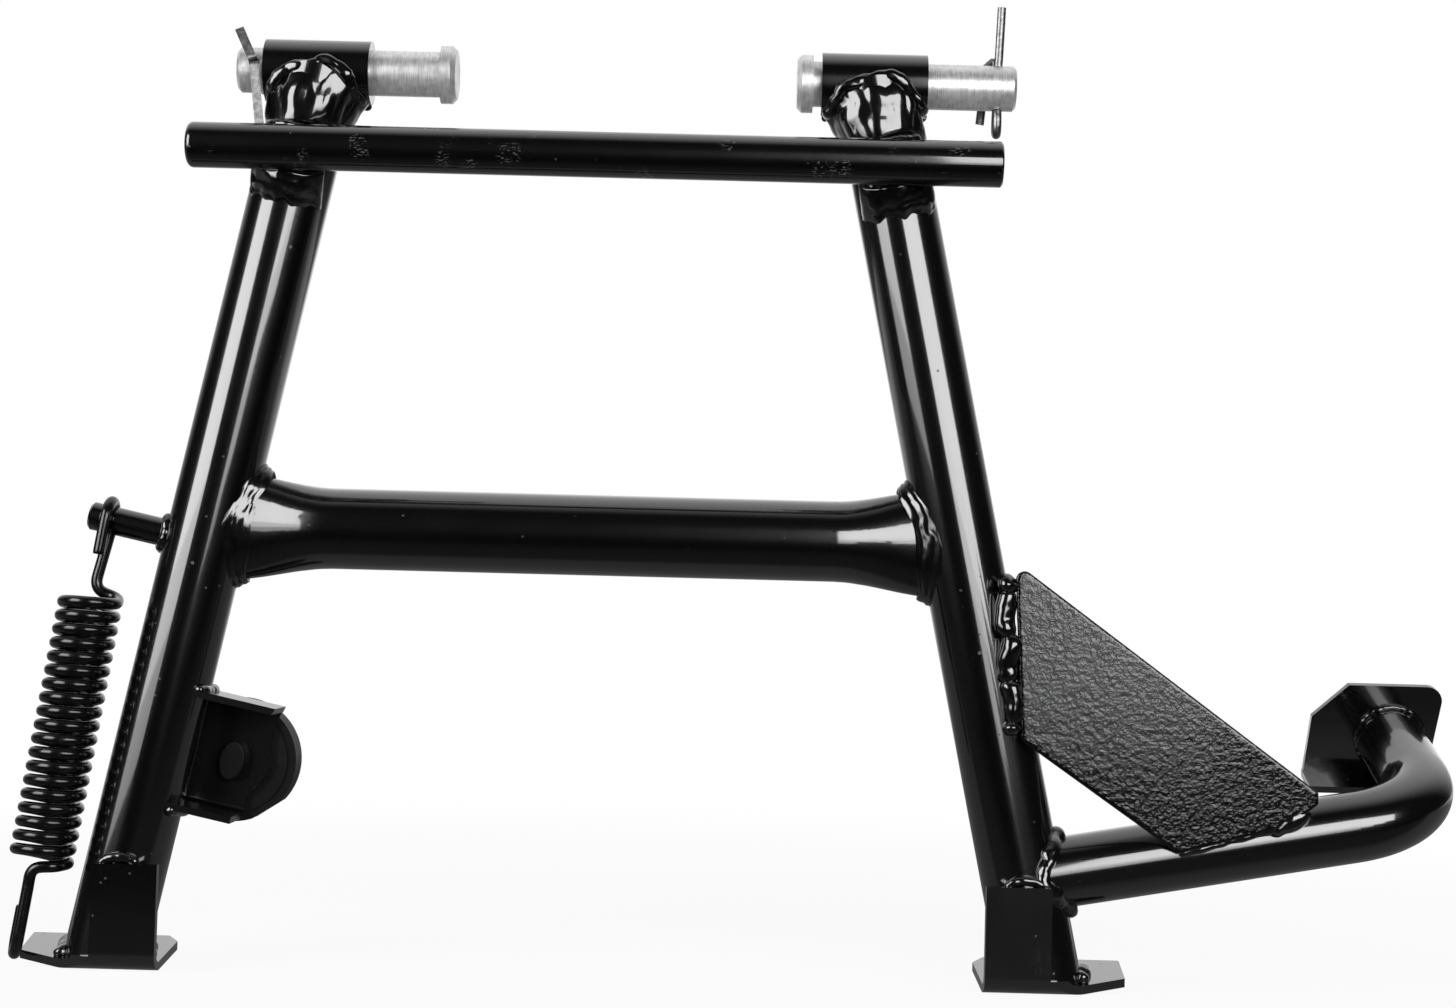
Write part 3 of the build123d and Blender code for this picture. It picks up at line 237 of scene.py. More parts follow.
floor_finish = bpy.data.materials.new("floor_paper")
paper = Tree(floor_finish)
floor_camera = paper.add("ShaderNodeLightPath", output="Is Camera Ray")
floor_glossy = paper.add("ShaderNodeLightPath", output="Is Glossy Ray")
floor_place = paper.add("ShaderNodeTexCoord", output="Object")
floor_depth = paper.add("ShaderNodeSeparateXYZ", inputs={0: floor_place}, output="Y")
floor_distance = paper.add(
    "ShaderNodeVectorMath", {"operation": "LENGTH"}, {0: floor_place}, output="Value"
)
near_feet = FRONT_GLOW * floor_depth.between(*FRONT_EDGE) + FOOT_GLOW * floor_depth.between(*FOOT_EDGE)
reflected = near_feet + REAR_GLOW * floor_depth.between(*REAR_GLOW_EDGE)
matt = paper.add("ShaderNodeBsdfDiffuse", inputs={"Color": grey(PAPER_GREY)})
lit = paper.add(
    "ShaderNodeEmission",
    inputs={"Color": grey(1.0), "Strength": floor_camera + (1 - floor_camera) * reflected},
)
lit_share = floor_camera * (LIT_SHARE + (1 - LIT_SHARE) * floor_distance.between(*LIT_EDGE)) + floor_glossy
both = paper.add("ShaderNodeMixShader", inputs={0: lit_share.at_most(1.0), 1: matt, 2: lit})
paper.add("ShaderNodeOutputMaterial", inputs={"Surface": both})
floor_mesh.materials.append(floor_finish)

# The welded frame is steel tube, bar and sheet under one coat of gloss black, with a faint orange
# peel, dust nibs caught in it, and rubs and chips from handling. The bar across the legs has scuffs
# too, and the bumper's bracket a thinner coat than the rest.
PAINT_BLACK = 0.002
MARK_GREY = 0.16
PAINT_ROUGHNESS = 0.17
COAT_ROUGHNESS = 0.06
PEEL_HEIGHT = 0.0025 * MM
NIB_HEIGHT = 0.06 * MM
CHIP_DEPTH = 0.08 * MM
SCUFF_DEPTH = 0.05 * MM
MIX_COLOUR = 2


def object_place(tree):
    return tree.add("ShaderNodeTexCoord", output="Object")


def cloudy(tree, place, scale, detail):
    """Soft noise around a half."""
    return tree.add("ShaderNodeTexNoise", inputs={"Vector": place, "Scale": scale, "Detail": detail})


def streaky(tree, place, stretch, detail, scale=1.0):
    """Noise drawn out into streaks, by its own scale along x, y and z."""
    stretched = tree.add("ShaderNodeMapping", inputs={"Vector": place, "Scale": stretch})
    return cloudy(tree, stretched, scale, detail)


def specks(tree, place, cells, size, seed):
    """Small round dots, one at most in each cell, with many cells left bare."""
    moved = tree.add("ShaderNodeVectorMath", {"operation": "ADD"}, {0: place, 1: (seed, seed, seed)})
    spread = tree.add("ShaderNodeTexVoronoi", inputs={"Vector": moved, "Scale": cells})
    chosen = cloudy(tree, moved, scale=cells * 0.4, detail=1.0)
    return (1 - spread.between(size * 0.5, size)) * chosen.between(0.56, 0.62)


def colour_mix(tree, share, low, high):
    """The colour low where share is 0 and high where it is 1."""
    inputs = {"Factor": share, "A": low, "B": high}
    return tree.add("ShaderNodeMix", {"data_type": "RGBA"}, inputs, output=MIX_COLOUR)


def bumps(tree, height, strength=1.0):
    """A surface that stands up by height in metres."""
    return tree.add("ShaderNodeBump", inputs={"Strength": strength, "Distance": 1.0, "Height": height})


def cover(tree, inputs):
    """One shader over the whole surface."""
    surface = tree.add("ShaderNodeBsdfPrincipled", inputs=inputs)
    tree.add("ShaderNodeOutputMaterial", inputs={"Surface": surface})


def paint(
    name, peel=PEEL_HEIGHT, grain=0.0, dust=1.0, scuffs=0.0,
    roughness=PAINT_ROUGHNESS, coat_roughness=COAT_ROUGHNESS, clear_coat=1.0,
):
    """Gloss black paint with a clear coat that covers clear_coat of it.

    peel and grain are the heights of its fine and coarse bumps, and dust and scuffs say how strong
    those marks are."""
    material = bpy.data.materials.new(name)
    tree = Tree(material)
    place = object_place(tree)
    ripple = cloudy(tree, place, scale=520.0, detail=2.0)
    cloud = cloudy(tree, place, scale=60.0, detail=4.0)
    rub = streaky(tree, place, stretch=(2200.0, 900.0, 120.0), detail=3.0)
    nib = specks(tree, place, cells=210.0, size=0.11, seed=0.31) * dust
    chip = specks(tree, place, cells=90.0, size=0.075, seed=0.77) * dust
    marks = (nib + chip).at_most(1.0)
    rubbed = rub.between(0.6, 0.82) * cloud.between(0.45, 0.7)
    scratch = streaky(tree, place, stretch=(900.0, 2600.0, 2600.0), detail=2.0, scale=0.75)
    patch = cloudy(tree, place, scale=75.0, detail=1.0)
    scuff = scratch.between(0.57, 0.64) * patch.between(0.6, 0.66) * scuffs
    paleness = (nib * 0.2 + chip * 0.4 + scuff).at_most(1.0)
    height = ripple * peel + nib * NIB_HEIGHT - chip * CHIP_DEPTH - scuff * SCUFF_DEPTH
    if grain:
        height = height + cloudy(tree, place, scale=620.0, detail=2.0) * grain
    cover(tree, {
        "Base Color": colour_mix(tree, paleness, grey(PAINT_BLACK), grey(MARK_GREY)),
        "Roughness": roughness + cloud * 0.06 + rubbed * 0.16 + marks * 0.3,
        "IOR": 1.5,
        "Coat Weight": (1 - marks.at_most(0.8)) * clear_coat,
        "Coat Roughness": coat_roughness,
        "Coat IOR": 1.7,
        "Normal": bumps(tree, height),
    })
    return material


def finish(obj, material):
    obj.data.materials.clear()
    obj.data.materials.append(material)


gloss_paint = paint("gloss_black_paint")
GLOSS_PAINTED = [
    "right_leg", "left_leg", "right_pivot_tube", "left_pivot_tube", "lower_cross_tube",
    "right_foot_plate", "left_foot_plate", "pedal_arm", "pedal_pad", "spring_peg",
]
for node in GLOSS_PAINTED:
    finish(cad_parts[node], gloss_paint)
scuffed_paint = paint("scuffed_black_paint", scuffs=0.4)
finish(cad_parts["crossbar"], scuffed_paint)
thin_paint = paint("thin_black_paint", roughness=0.24, coat_roughness=0.2, clear_coat=0.35)
finish(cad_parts["bumper_bracket"], thin_paint)

# The gusset is hot-rolled plate. Its mill skin shows through the paint as a coarse hammered grain,
# and the coat lies thinner on it.
GUSSET_VOXEL = 0.6 * MM
MILL_SKIN_HEIGHT = 0.06 * MM
MILL_SKIN_SIZE = 3.0 * MM
MILL_SKIN_OCTAVES = 2
GRAIN_HEIGHT = 0.34 * MM

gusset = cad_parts["gusset_plate"]
grained_paint = paint(
    "grained_black_paint", grain=GRAIN_HEIGHT, roughness=0.12, coat_roughness=0.09, clear_coat=0.3
)
finish(gusset, grained_paint)
remesh = gusset.modifiers.new("fine_mesh", "REMESH")
remesh.mode = "VOXEL"
remesh.voxel_size = GUSSET_VOXEL
remesh.use_smooth_shade = True
pits = bpy.data.textures.new("mill_skin", "CLOUDS")
pits.noise_scale = MILL_SKIN_SIZE
pits.noise_depth = MILL_SKIN_OCTAVES
dents = gusset.modifiers.new("mill_skin", "DISPLACE")
dents.texture = pits
dents.texture_coords = "LOCAL"
dents.mid_level = 0.5
dents.strength = MILL_SKIN_HEIGHT

# Each pivot tube sits in the saddle cut in its leg and is welded there by hand with a wire feed. A
# broad collar of weld fills the corner between the two all round and flares out along the tube,
# with a heavier ridge along its upper edge, and is painted over with the frame.
SIDES = ((1, "right"), (-1, "left"))
SPLAY = math.radians(11.84)
LEG_RADIUS = 14.3 * MM
pivot_low, pivot_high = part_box("right_pivot_tube")
PIVOT_X = (pivot_low[0] + pivot_high[0]) / 2
TUBE_RADIUS = (pivot_high[2] - pivot_low[2]) / 2
COLLAR_REACH = (pivot_high[0] - pivot_low[0]) / 2 - 1.6 * MM
COLLAR_RISE = math.radians(97.0)
COLLAR_DROP = 21.5 * MM
COLLAR_STATIONS = 132
COLLAR_THICKNESS = 1.3 * MM
COLLAR_FACE_BULGE = 1.0 * MM
COLLAR_SIDE_HOLLOW = 14.5 * MM
COLLAR_FACE_HOLLOW = 2.0 * MM
COLLAR_SIDE_HANG = 2.5 * MM
COLLAR_HANG_WAVE = 1.2 * MM
COLLAR_RISE_WAVE = 0.06
COLLAR_REACH_WAVE = 0.05
COLLAR_ROOT_RADIUS = 8.0 * MM
COLLAR_ROOT_DROP = 12.0 * MM
RIDGE_RADIUS = 2.3 * MM
RIDGE_INSET = 0.12
RIDGE_OFF = 0.4 * MM
RIDGE_LIFT = 0.5 * MM
RIDGE_START = 0.2
BEAD_STEP = 0.55 * MM
BEAD_SIDES = 22
BLUNT_END = 0.02
BEAD_WANDER = 1.6 * MM
WANDER_SCALE = 120
BEAD_SWAY = 0.22
BEAD_ROUNDNESS = 0.8
LUMP_SCALE = 150
PIT_SHARE = 0.14
PIT_SCALE = 400
FILLET_STEPS = 15
FILLET_WANDER = 4.0 * MM
FILLET_WANDER_SCALE = 90
FILLET_BEND = 3.0 * MM
FILLET_JITTER = 0.35
FILLET_JITTER_SCALE = 310
FILLET_ROUNDNESS = 0.7
FILLET_LUMP_SCALE = 130
weld_paint = paint("painted_weld", peel=0.003 * MM, dust=0.3)


def leg_point(side, outward, rear, down):
    """A point in a leg's own directions from its pivot, on the right (1) or the left (-1)."""
    x = side * (PIVOT_X + outward * math.cos(SPLAY) + down * math.sin(SPLAY))
    return Vector((x, rear, outward * math.sin(SPLAY) - down * math.cos(SPLAY)))


def along(start, stop, count):
    """Evenly spaced values from start to stop."""
    return [start + (stop - start) * i / (count - 1) for i in range(count)]


def turns_round(count):
    """Angles all round a closed loop."""
    return along(0.0, 2 * math.pi, count + 1)[:-1]


def even_path(points, step, closed=False):
    """The same line with evenly spaced points, and its length."""
    if closed:
        points = points + [points[0]]
    lengths = [(b - a).length for a, b in zip(points, points[1:])]
    total = sum(lengths)
    count = max(4, round(total / step))
    spaced = []
    walked, i = 0.0, 0
    for k in range(count if closed else count + 1):
        target = total * k / count
        while i < len(lengths) - 1 and walked + lengths[i] < target:
            walked += lengths[i]
            i += 1
        share_of = (target - walked) / lengths[i] if lengths[i] else 0.0
        spaced.append(points[i].lerp(points[i + 1], min(1.0, share_of)))
    return spaced, total


def rings_along(path, closed=False):
    """A tangent and two cross directions at each point, turned as little as possible."""
    count = len(path)
    tangents = []
    for i in range(count):
        before = path[i - 1] if closed or i else path[0]
        after = path[(i + 1) % count] if closed or i < count - 1 else path[-1]
        tangents.append((after - before).normalized())
    sides = [tangents[0].orthogonal().normalized()]
    for tangent in tangents[1:]:
        kept = sides[-1] - tangent * sides[-1].dot(tangent)
        sides.append(kept.normalized())
    return [(tangent, side, tangent.cross(side)) for tangent, side in zip(tangents, sides)]


def linked(name, mesh):
    """A smooth object of the mesh, in the scene."""
    mesh.shade_smooth()
    obj = bpy.data.objects.new(name, mesh)
    bpy.context.scene.collection.objects.link(obj)
    return obj


def skin_rings(name, rings, closed):
    """A closed mesh through rings of points, with flat ends unless the rings meet."""
    width = len(rings[0])
    vertices = [p for ring in rings for p in ring]
    faces = []
    spans = len(rings) if closed else len(rings) - 1
    for i in range(spans):
        a, b = i * width, ((i + 1) % len(rings)) * width
        for j in range(width):
            k = (j + 1) % width
            faces.append((a + j, a + k, b + k, b + j))
    if not closed:
        faces.append(tuple(range(width - 1, -1, -1)))
        faces.append(tuple(len(vertices) - width + j for j in range(width)))
    mesh = bpy.data.meshes.new(name)
    mesh.from_pydata(vertices, [], faces)
    mesh.validate()
    shape = bmesh.new()
    shape.from_mesh(mesh)
    bmesh.ops.recalc_face_normals(shape, faces=shape.faces)
    shape.to_mesh(mesh)
    shape.free()
    return linked(name, mesh)


def weld(name, points, radius, seed, pitch=2.6 * MM, ripple=0.14, lumps=0.4, closed=False, flat=1.0):
    """A rope of weld: ripples every pitch, lumps of noise, and rounded ends.

    ripple and lumps are shares of its radius, and flat is the share of its depth that is kept."""
    path, total = even_path(points, BEAD_STEP, closed)
    rings = []
    for i, (centre, (_, side, other)) in enumerate(zip(path, rings_along(path, closed))):
        walked = total * i / len(path)
        end = min(walked, total - walked) if not closed else total
        rounding = math.sqrt(max(0.0, 1 - max(0.0, 1 - end / radius) ** 2))
        taper = rounding * (1 - BLUNT_END) + BLUNT_END
        ring = []
        for j in range(BEAD_SIDES):
            angle = 2 * math.pi * j / BEAD_SIDES
            out = side * math.cos(angle) + other * math.sin(angle)
            spot = centre + out * radius
            wander = BEAD_WANDER * noise.noise(spot * WANDER_SCALE + Vector((seed, 0, 0)))
            phase = (walked + wander) / pitch + BEAD_SWAY * math.cos(angle * 2 + seed)
            crest = abs(math.sin(math.pi * phase)) ** BEAD_ROUNDNESS
            lump = noise.noise(spot * LUMP_SCALE + Vector((0, seed, 0)))
            lump += PIT_SHARE * noise.noise(spot * PIT_SCALE)
            size = radius * (1 - ripple + ripple * crest + lumps * lump) * taper
            ring.append(centre + Vector((out.x, out.y * flat, out.z)) * size)
        rings.append(ring)
    return skin_rings(name, rings, closed)


def fillet(
    name, tops, corners, bottoms, roots, seed, pitch, wrinkle, lumps, layers=0.0, closed=False
):
    """Weld metal in a corner, between a line on each surface, bent by corners and backed by roots.

    Its wrinkles come every pitch along it and layers times across it. wrinkle and lumps are their
    heights."""
    rings = []
    walked = 0.0
    for i, (top, corner, bottom, root) in enumerate(zip(tops, corners, bottoms, roots)):
        if i:
            walked += (corner - corners[i - 1]).length
        ring = []
        for u in along(0.0, 1.0, FILLET_STEPS):
            spot = top * (1 - u) ** 2 + corner * (2 * u * (1 - u)) + bottom * u**2
            wander = FILLET_WANDER * noise.noise(spot * FILLET_WANDER_SCALE + Vector((seed, 0, 0)))
            jitter = FILLET_JITTER * noise.noise(spot * FILLET_JITTER_SCALE + Vector((0, 0, seed)))
            phase = (walked + wander + FILLET_BEND * u * u) / pitch + layers * u + jitter
            crest = abs(math.sin(math.pi * phase)) ** FILLET_ROUNDNESS
            lump = noise.noise(spot * FILLET_LUMP_SCALE + Vector((0, seed, 0)))
            seated = 1 - (2 * u - 1) ** 4
            ring.append(spot + (spot - root).normalized() * (wrinkle * crest + lumps * lump) * seated)
        ring.append(root)
        rings.append(ring)
    return skin_rings(name, rings, closed)


def placed_weld(name, node, beads):
    """The beads of one seam as one painted piece, in place of its plain solid."""
    whole = bmesh.new()
    for bead in beads:
        whole.from_mesh(bead.data)
        bpy.data.objects.remove(bead)
    mesh = bpy.data.meshes.new(name)
    whole.to_mesh(mesh)
    whole.free()
    seam = linked(name, mesh)
    finish(seam, weld_paint)
    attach(seam, "stand")
    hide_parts(node)


for side, word in SIDES:
    tops, corners, bottoms, roots = [], [], [], []
    for a in turns_round(COLLAR_STATIONS):
        sideways, rearways = math.cos(a), math.sin(a)
        swing = COLLAR_RISE * rearways * (1 + COLLAR_RISE_WAVE * math.sin(5 * a + side))
        reach = COLLAR_REACH * sideways * (1 - COLLAR_REACH_WAVE * math.cos(7 * a))
        tops.append(Vector((
            side * (PIVOT_X + reach),
            TUBE_RADIUS * math.sin(swing),
            -TUBE_RADIUS * math.cos(swing),
        )))
        bulge = LEG_RADIUS + COLLAR_THICKNESS + COLLAR_FACE_BULGE * rearways**2
        bulge_drop = COLLAR_SIDE_HOLLOW * sideways**2 + COLLAR_FACE_HOLLOW * rearways**2
        corners.append(leg_point(side, bulge * sideways, bulge * rearways, bulge_drop))
        hang = COLLAR_SIDE_HANG * sideways**2 + COLLAR_HANG_WAVE * math.sin(3 * a + side)
        bottoms.append(
            leg_point(side, LEG_RADIUS * sideways, LEG_RADIUS * rearways, COLLAR_DROP + hang)
        )
        roots.append(leg_point(
            side, COLLAR_ROOT_RADIUS * sideways, COLLAR_ROOT_RADIUS * rearways, COLLAR_ROOT_DROP
        ))
    beads = [
        fillet(
            f"{word}_collar", tops, corners, bottoms, roots, 3.1 + side,
            pitch=7.5 * MM, wrinkle=0.45 * MM, lumps=1.3 * MM, closed=True,
        )
    ]
    for face in (-1, 1):
        ridge = [
            top.lerp(corner, RIDGE_INSET) + Vector((0, RIDGE_OFF * face, RIDGE_LIFT))
            for top, corner in zip(tops, corners)
            if face * top.y > RIDGE_START * TUBE_RADIUS
        ]
        beads.append(
            weld(
                f"{word}_ridge_{face}", ridge, RIDGE_RADIUS, 8.4 + side * face,
                pitch=6.0 * MM, lumps=0.75, flat=0.7,
            )
        )
    placed_weld(f"{word}_pivot_bead", f"{word}_pivot_weld", beads)

# The round bar lies across both legs. It is held under its lower side by a wide wrinkled crescent
# of weld that runs down the leg, and over its upper side by a small bead.
BAR_DROP = 30.9 * MM
BAR_RADIUS = 8.0 * MM
bar_low, bar_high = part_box("crossbar")
BAR_DEPTH = (bar_low[1] + bar_high[1]) / 2
BAR_GAP = 0.3 * MM
BAR_GRIP = 12
BAR_GRIP_AT_ENDS = 45
CRESCENT_REACH = 13.0 * MM
CRESCENT_STATIONS = 60
CRESCENT_MIDDLE = 15.6 * MM
CRESCENT_THICKNESS = 0.8 * MM
CRESCENT_BELLY = 2.0 * MM
CRESCENT_HANG = 15.4 * MM
CRESCENT_SAG = 2.6 * MM
CRESCENT_ROOT = 11.0 * MM
CRESCENT_ROOT_DEPTH = 2.0 * MM
OVER_REACH = 11.0 * MM
OVER_RADIUS = 2.0 * MM
OVER_OFF = 0.4 * MM
OVER_LIFT = 0.1 * MM


def down_leg(drop):
    """How far down the leg a place lies that is drop below its pivot."""
    return drop / math.cos(SPLAY)


for side, word in SIDES:
    tops, corners, bottoms, roots = [], [], [], []
    for u in along(-1.0, 1.0, CRESCENT_STATIONS):
        outward = u * CRESCENT_REACH
        surface = -math.sqrt(LEG_RADIUS**2 - outward**2)
        turn = math.radians(BAR_GRIP + BAR_GRIP_AT_ENDS * u * u)
        fullness = math.sqrt(1 - min(1.0, abs(u)) ** 4)
        under = BAR_DROP + BAR_RADIUS * math.cos(turn) - BAR_GAP
        tops.append(leg_point(side, outward, BAR_DEPTH + BAR_RADIUS * math.sin(turn), down_leg(under)))
        belly = surface - CRESCENT_THICKNESS - CRESCENT_BELLY * fullness
        corners.append(leg_point(side, outward, belly, down_leg(BAR_DROP + CRESCENT_MIDDLE)))
        waves = (0.7 * math.sin(9 * u + side) + 0.4 * math.sin(17 * u)) * MM
        hang = CRESCENT_HANG + CRESCENT_SAG * fullness + waves
        bottoms.append(leg_point(side, outward, surface + BAR_GAP, down_leg(BAR_DROP + hang)))
        root_down = down_leg(BAR_DROP + CRESCENT_ROOT)
        roots.append(leg_point(side, outward * 0.9, surface + CRESCENT_ROOT_DEPTH, root_down))
    crescent = fillet(
        f"{word}_crescent", tops, corners, bottoms, roots, 5.0 + side,
        pitch=26.0 * MM, wrinkle=0.75 * MM, lumps=1.2 * MM, layers=2.6,
    )
    line = []
    for outward in along(-OVER_REACH, OVER_REACH, 20):
        surface = -math.sqrt(LEG_RADIUS**2 - outward**2)
        upper = down_leg(BAR_DROP - BAR_RADIUS - OVER_LIFT)
        line.append(leg_point(side, outward, surface - OVER_OFF, upper))
    over = weld(f"{word}_over", line, OVER_RADIUS, 17.0 + side)
    placed_weld(f"{word}_crossbar_bead", f"{word}_crossbar_weld", [crescent, over])

# The cross tube's squeezed ends butt on the legs. Each is welded all round with a wide hollow
# fillet, laid in layers whose edges run round the tube's end.
TUBE_DROP = 162.6 * MM
OVAL_DEPTH = 9.4 * MM
OVAL_HEIGHT = 20.0 * MM
OVAL_STATIONS = 144
LEG_SPREAD = 3.2 * MM
LEG_SPREAD_LOSS = 0.9 * MM
LEG_SPREAD_WAVE = 0.3 * MM
TUBE_CLIMB = 6.0 * MM
TUBE_CLIMB_LOSS = 2.2 * MM
TUBE_CLIMB_WAVE = 0.5 * MM
HOLLOW_SPREAD = 0.7 * MM
HOLLOW_OFF = 0.9 * MM
ROOT_SPREAD = -2.4 * MM
ROOT_OFF = -1.2 * MM
LEG_SEAT = -0.2 * MM
TUBE_SEAT = -0.3 * MM


def oval_point(side, a, spread, off):
    """A point round the cross tube's end: spread out from its oval and off the leg's surface."""
    rear = (OVAL_DEPTH + spread) * math.cos(a)
    inward = math.sqrt(LEG_RADIUS**2 - rear**2) + off
    below = TUBE_DROP + (OVAL_HEIGHT + spread) * math.sin(a)
    down = (below - inward * math.sin(SPLAY)) / math.cos(SPLAY)
    return leg_point(side, -inward, rear, down)


for side, word in SIDES:
    tops, corners, bottoms, roots = [], [], [], []
    for a in turns_round(OVAL_STATIONS):
        upright = math.sin(a) ** 2
        spread = LEG_SPREAD - LEG_SPREAD_LOSS * upright + LEG_SPREAD_WAVE * math.sin(7 * a + side)
        climb = TUBE_CLIMB - TUBE_CLIMB_LOSS * upright + TUBE_CLIMB_WAVE * math.sin(5 * a)
        tops.append(oval_point(side, a, spread, LEG_SEAT))
        corners.append(oval_point(side, a, HOLLOW_SPREAD, HOLLOW_OFF))
        bottoms.append(oval_point(side, a, TUBE_SEAT, climb))
        roots.append(oval_point(side, a, ROOT_SPREAD, ROOT_OFF))
    bead = fillet(
        f"{word}_loop", tops, corners, bottoms, roots, 21.0 + side,
        pitch=40.0 * MM, wrinkle=0.5 * MM, lumps=0.6 * MM, layers=2.4, closed=True,
    )
    placed_weld(f"{word}_tube_bead", f"{word}_tube_weld", [bead])

# Each leg stands on its bent foot plate and is welded to it round its outer side. The plate's
# upright flange has one short bead over its top edge.
SOLE_DROP = 319.0 * MM
SOLE_TILT = math.radians(9.0)
SHEET = 3.0 * MM
FLANGE_HEIGHT = 38.0 * MM
FOOT_BEAD_ENDS = (math.radians(-34), math.radians(212))
FOOT_BEAD_RADIUS = 2.9 * MM
FOOT_BEAD_OFF = 0.5 * MM
FOOT_BEAD_LIFT = 0.8 * MM
FLANGE_BEAD_RADIUS = 1.9 * MM
FLANGE_BEAD_HALF = 6.4 * MM
FLANGE_BEAD_RISE = 3.4 * MM
FLANGE_BEAD_DEPTH = -LEG_RADIUS - 0.8 * MM
FLANGE_BEAD_FOOT = FLANGE_HEIGHT - SOLE_DROP - 1.2 * MM

for side, word in SIDES:
    ring = LEG_RADIUS + FOOT_BEAD_OFF
    arc = []
    for a in along(*FOOT_BEAD_ENDS, 60):
        outward, rear = ring * math.cos(a), ring * math.sin(a)
        slope = (rear + LEG_RADIUS + SHEET) * math.tan(SOLE_TILT)
        height = -SOLE_DROP + SHEET / math.cos(SOLE_TILT) + slope
        down = down_leg(outward * math.sin(SPLAY) - height - FOOT_BEAD_LIFT)
        arc.append(leg_point(side, outward, rear, down))
    bead = weld(f"{word}_ring", arc, FOOT_BEAD_RADIUS, 31.0 + side, pitch=5.0 * MM, lumps=0.7)
    placed_weld(f"{word}_foot_bead", f"{word}_foot_weld", [bead])

    flange_low, flange_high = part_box(f"{word}_flange_weld")
    middle = (flange_low[0] + flange_high[0]) / 2
    arc = [
        Vector((
            middle + FLANGE_BEAD_HALF * math.cos(a),
            FLANGE_BEAD_DEPTH,
            FLANGE_BEAD_FOOT + FLANGE_BEAD_RISE * math.sin(a),
        ))
        for a in along(0.15, math.pi - 0.15, 24)
    ]
    bead = weld(
        f"{word}_cap", arc, FLANGE_BEAD_RADIUS, 37.0 + side, pitch=4.0 * MM, ripple=0.1, lumps=0.3
    )
    placed_weld(f"{word}_flange_bead", f"{word}_flange_weld", [bead])

# The pedal arm is bent tube, coped to the leg and welded all round. Its far end butts on the folded
# pad, with one thin bead round it.
ARM_RADIUS = 12.5 * MM
ARM_DOWN = 286.0 * MM
ARM_BEAD_RADIUS = 3.1 * MM
ARM_BEAD_OFF = 0.5 * MM
LEG_BEAD_OFF = 0.4 * MM
PAD_TILT = math.radians(19.0)
PAD_BEAD_RADIUS = 1.1 * MM
PAD_BEAD_OFF = 0.1 * MM
PAD_BEAD_SHIFT = 0.8 * MM


def cope_loop(side, radius, down, off, count):
    """A line round a tube or bar that is coped to a leg, at down along the leg."""
    loop = []
    for a in turns_round(count):
        rear = radius * math.sin(a)
        outward = math.sqrt(LEG_RADIUS**2 - rear**2) + off
        loop.append(leg_point(side, outward, rear, down - radius * math.cos(a)))
    return loop


loop = cope_loop(1, ARM_RADIUS + ARM_BEAD_OFF, ARM_DOWN, LEG_BEAD_OFF, 48)
bead = weld("arm_loop", loop, ARM_BEAD_RADIUS, 43.0, pitch=5.2 * MM, closed=True, lumps=0.55)
placed_weld("arm_bead", "arm_weld", [bead])

pad_weld_low, pad_weld_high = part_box("pad_weld")
pad_centre = (pad_weld_low + pad_weld_high) / 2
pad_normal = Vector((0, math.cos(PAD_TILT), math.sin(PAD_TILT)))
pad_up = Vector((0, -math.sin(PAD_TILT), math.cos(PAD_TILT)))
loop = [
    pad_centre + pad_normal * PAD_BEAD_SHIFT
    + (Vector((1, 0, 0)) * math.sin(a) + pad_up * math.cos(a)) * (ARM_RADIUS + PAD_BEAD_OFF)
    for a in turns_round(48)
]
bead = weld("pad_loop", loop, PAD_BEAD_RADIUS, 47.0, pitch=3.4 * MM, closed=True)
placed_weld("pad_bead", "pad_weld", [bead])

# The gusset is held to the leg by one heavy bead, laid in five passes that overlap, and to the arm
# by a thin one that ends in a lump at the plate's tip.
LEG_PASSES = (
    (0.0, 0.13, 4.2 * MM),
    (0.08, 0.4, 3.8 * MM),
    (0.37, 0.68, 4.0 * MM),
    (0.65, 0.93, 3.7 * MM),
    (0.91, 1.0, 3.9 * MM),
)
THIN_RADIUS = 1.6 * MM
TIP_RADIUS = 3.3 * MM

bead_low, bead_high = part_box("gusset_weld")
bead_y = -ARM_RADIUS - 0.9 * MM
top = Vector((bead_low[0] + 4.3 * MM, bead_y, bead_high[2] - 2.0 * MM))
low = Vector((bead_high[0] - 4.6 * MM, bead_y, bead_low[2] + 2.0 * MM))
beads = []
for number, (start_at, stop_at, size) in enumerate(LEG_PASSES):
    line = [
        top.lerp(low, u) + Vector((0.7 * MM * math.sin(17 * u), 0.4 * MM * math.sin(11 * u), 0))
        for u in along(start_at, stop_at, 24)
    ]
    beads.append(
        weld(f"pass_{number}", line, size, 51.0 + number, pitch=14.0 * MM, ripple=0.16, lumps=0.34)
    )
placed_weld("gusset_bead", "gusset_weld", beads)

edge_low, edge_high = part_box("gusset_edge_weld")
start = Vector((edge_low[0] + 1.0 * MM, -ARM_RADIUS - 0.6 * MM, edge_low[2] + 1.2 * MM))
stop = Vector((edge_high[0] - 0.5 * MM, -ARM_RADIUS - 0.4 * MM, edge_high[2] - 1.2 * MM))
lump_start = stop - Vector((7.0 * MM, 0, 3.0 * MM))
lump_stop = stop + Vector((7.0 * MM, 0.6 * MM, 4.6 * MM))
beads = [
    weld("thin", along(start, stop, 20), THIN_RADIUS, 57.0, pitch=6.0 * MM, ripple=0.1),
    weld("tip", along(lump_start, lump_stop, 12), TIP_RADIUS, 61.0, pitch=30.0 * MM),
]
placed_weld("gusset_edge_bead", "gusset_edge_weld", beads)

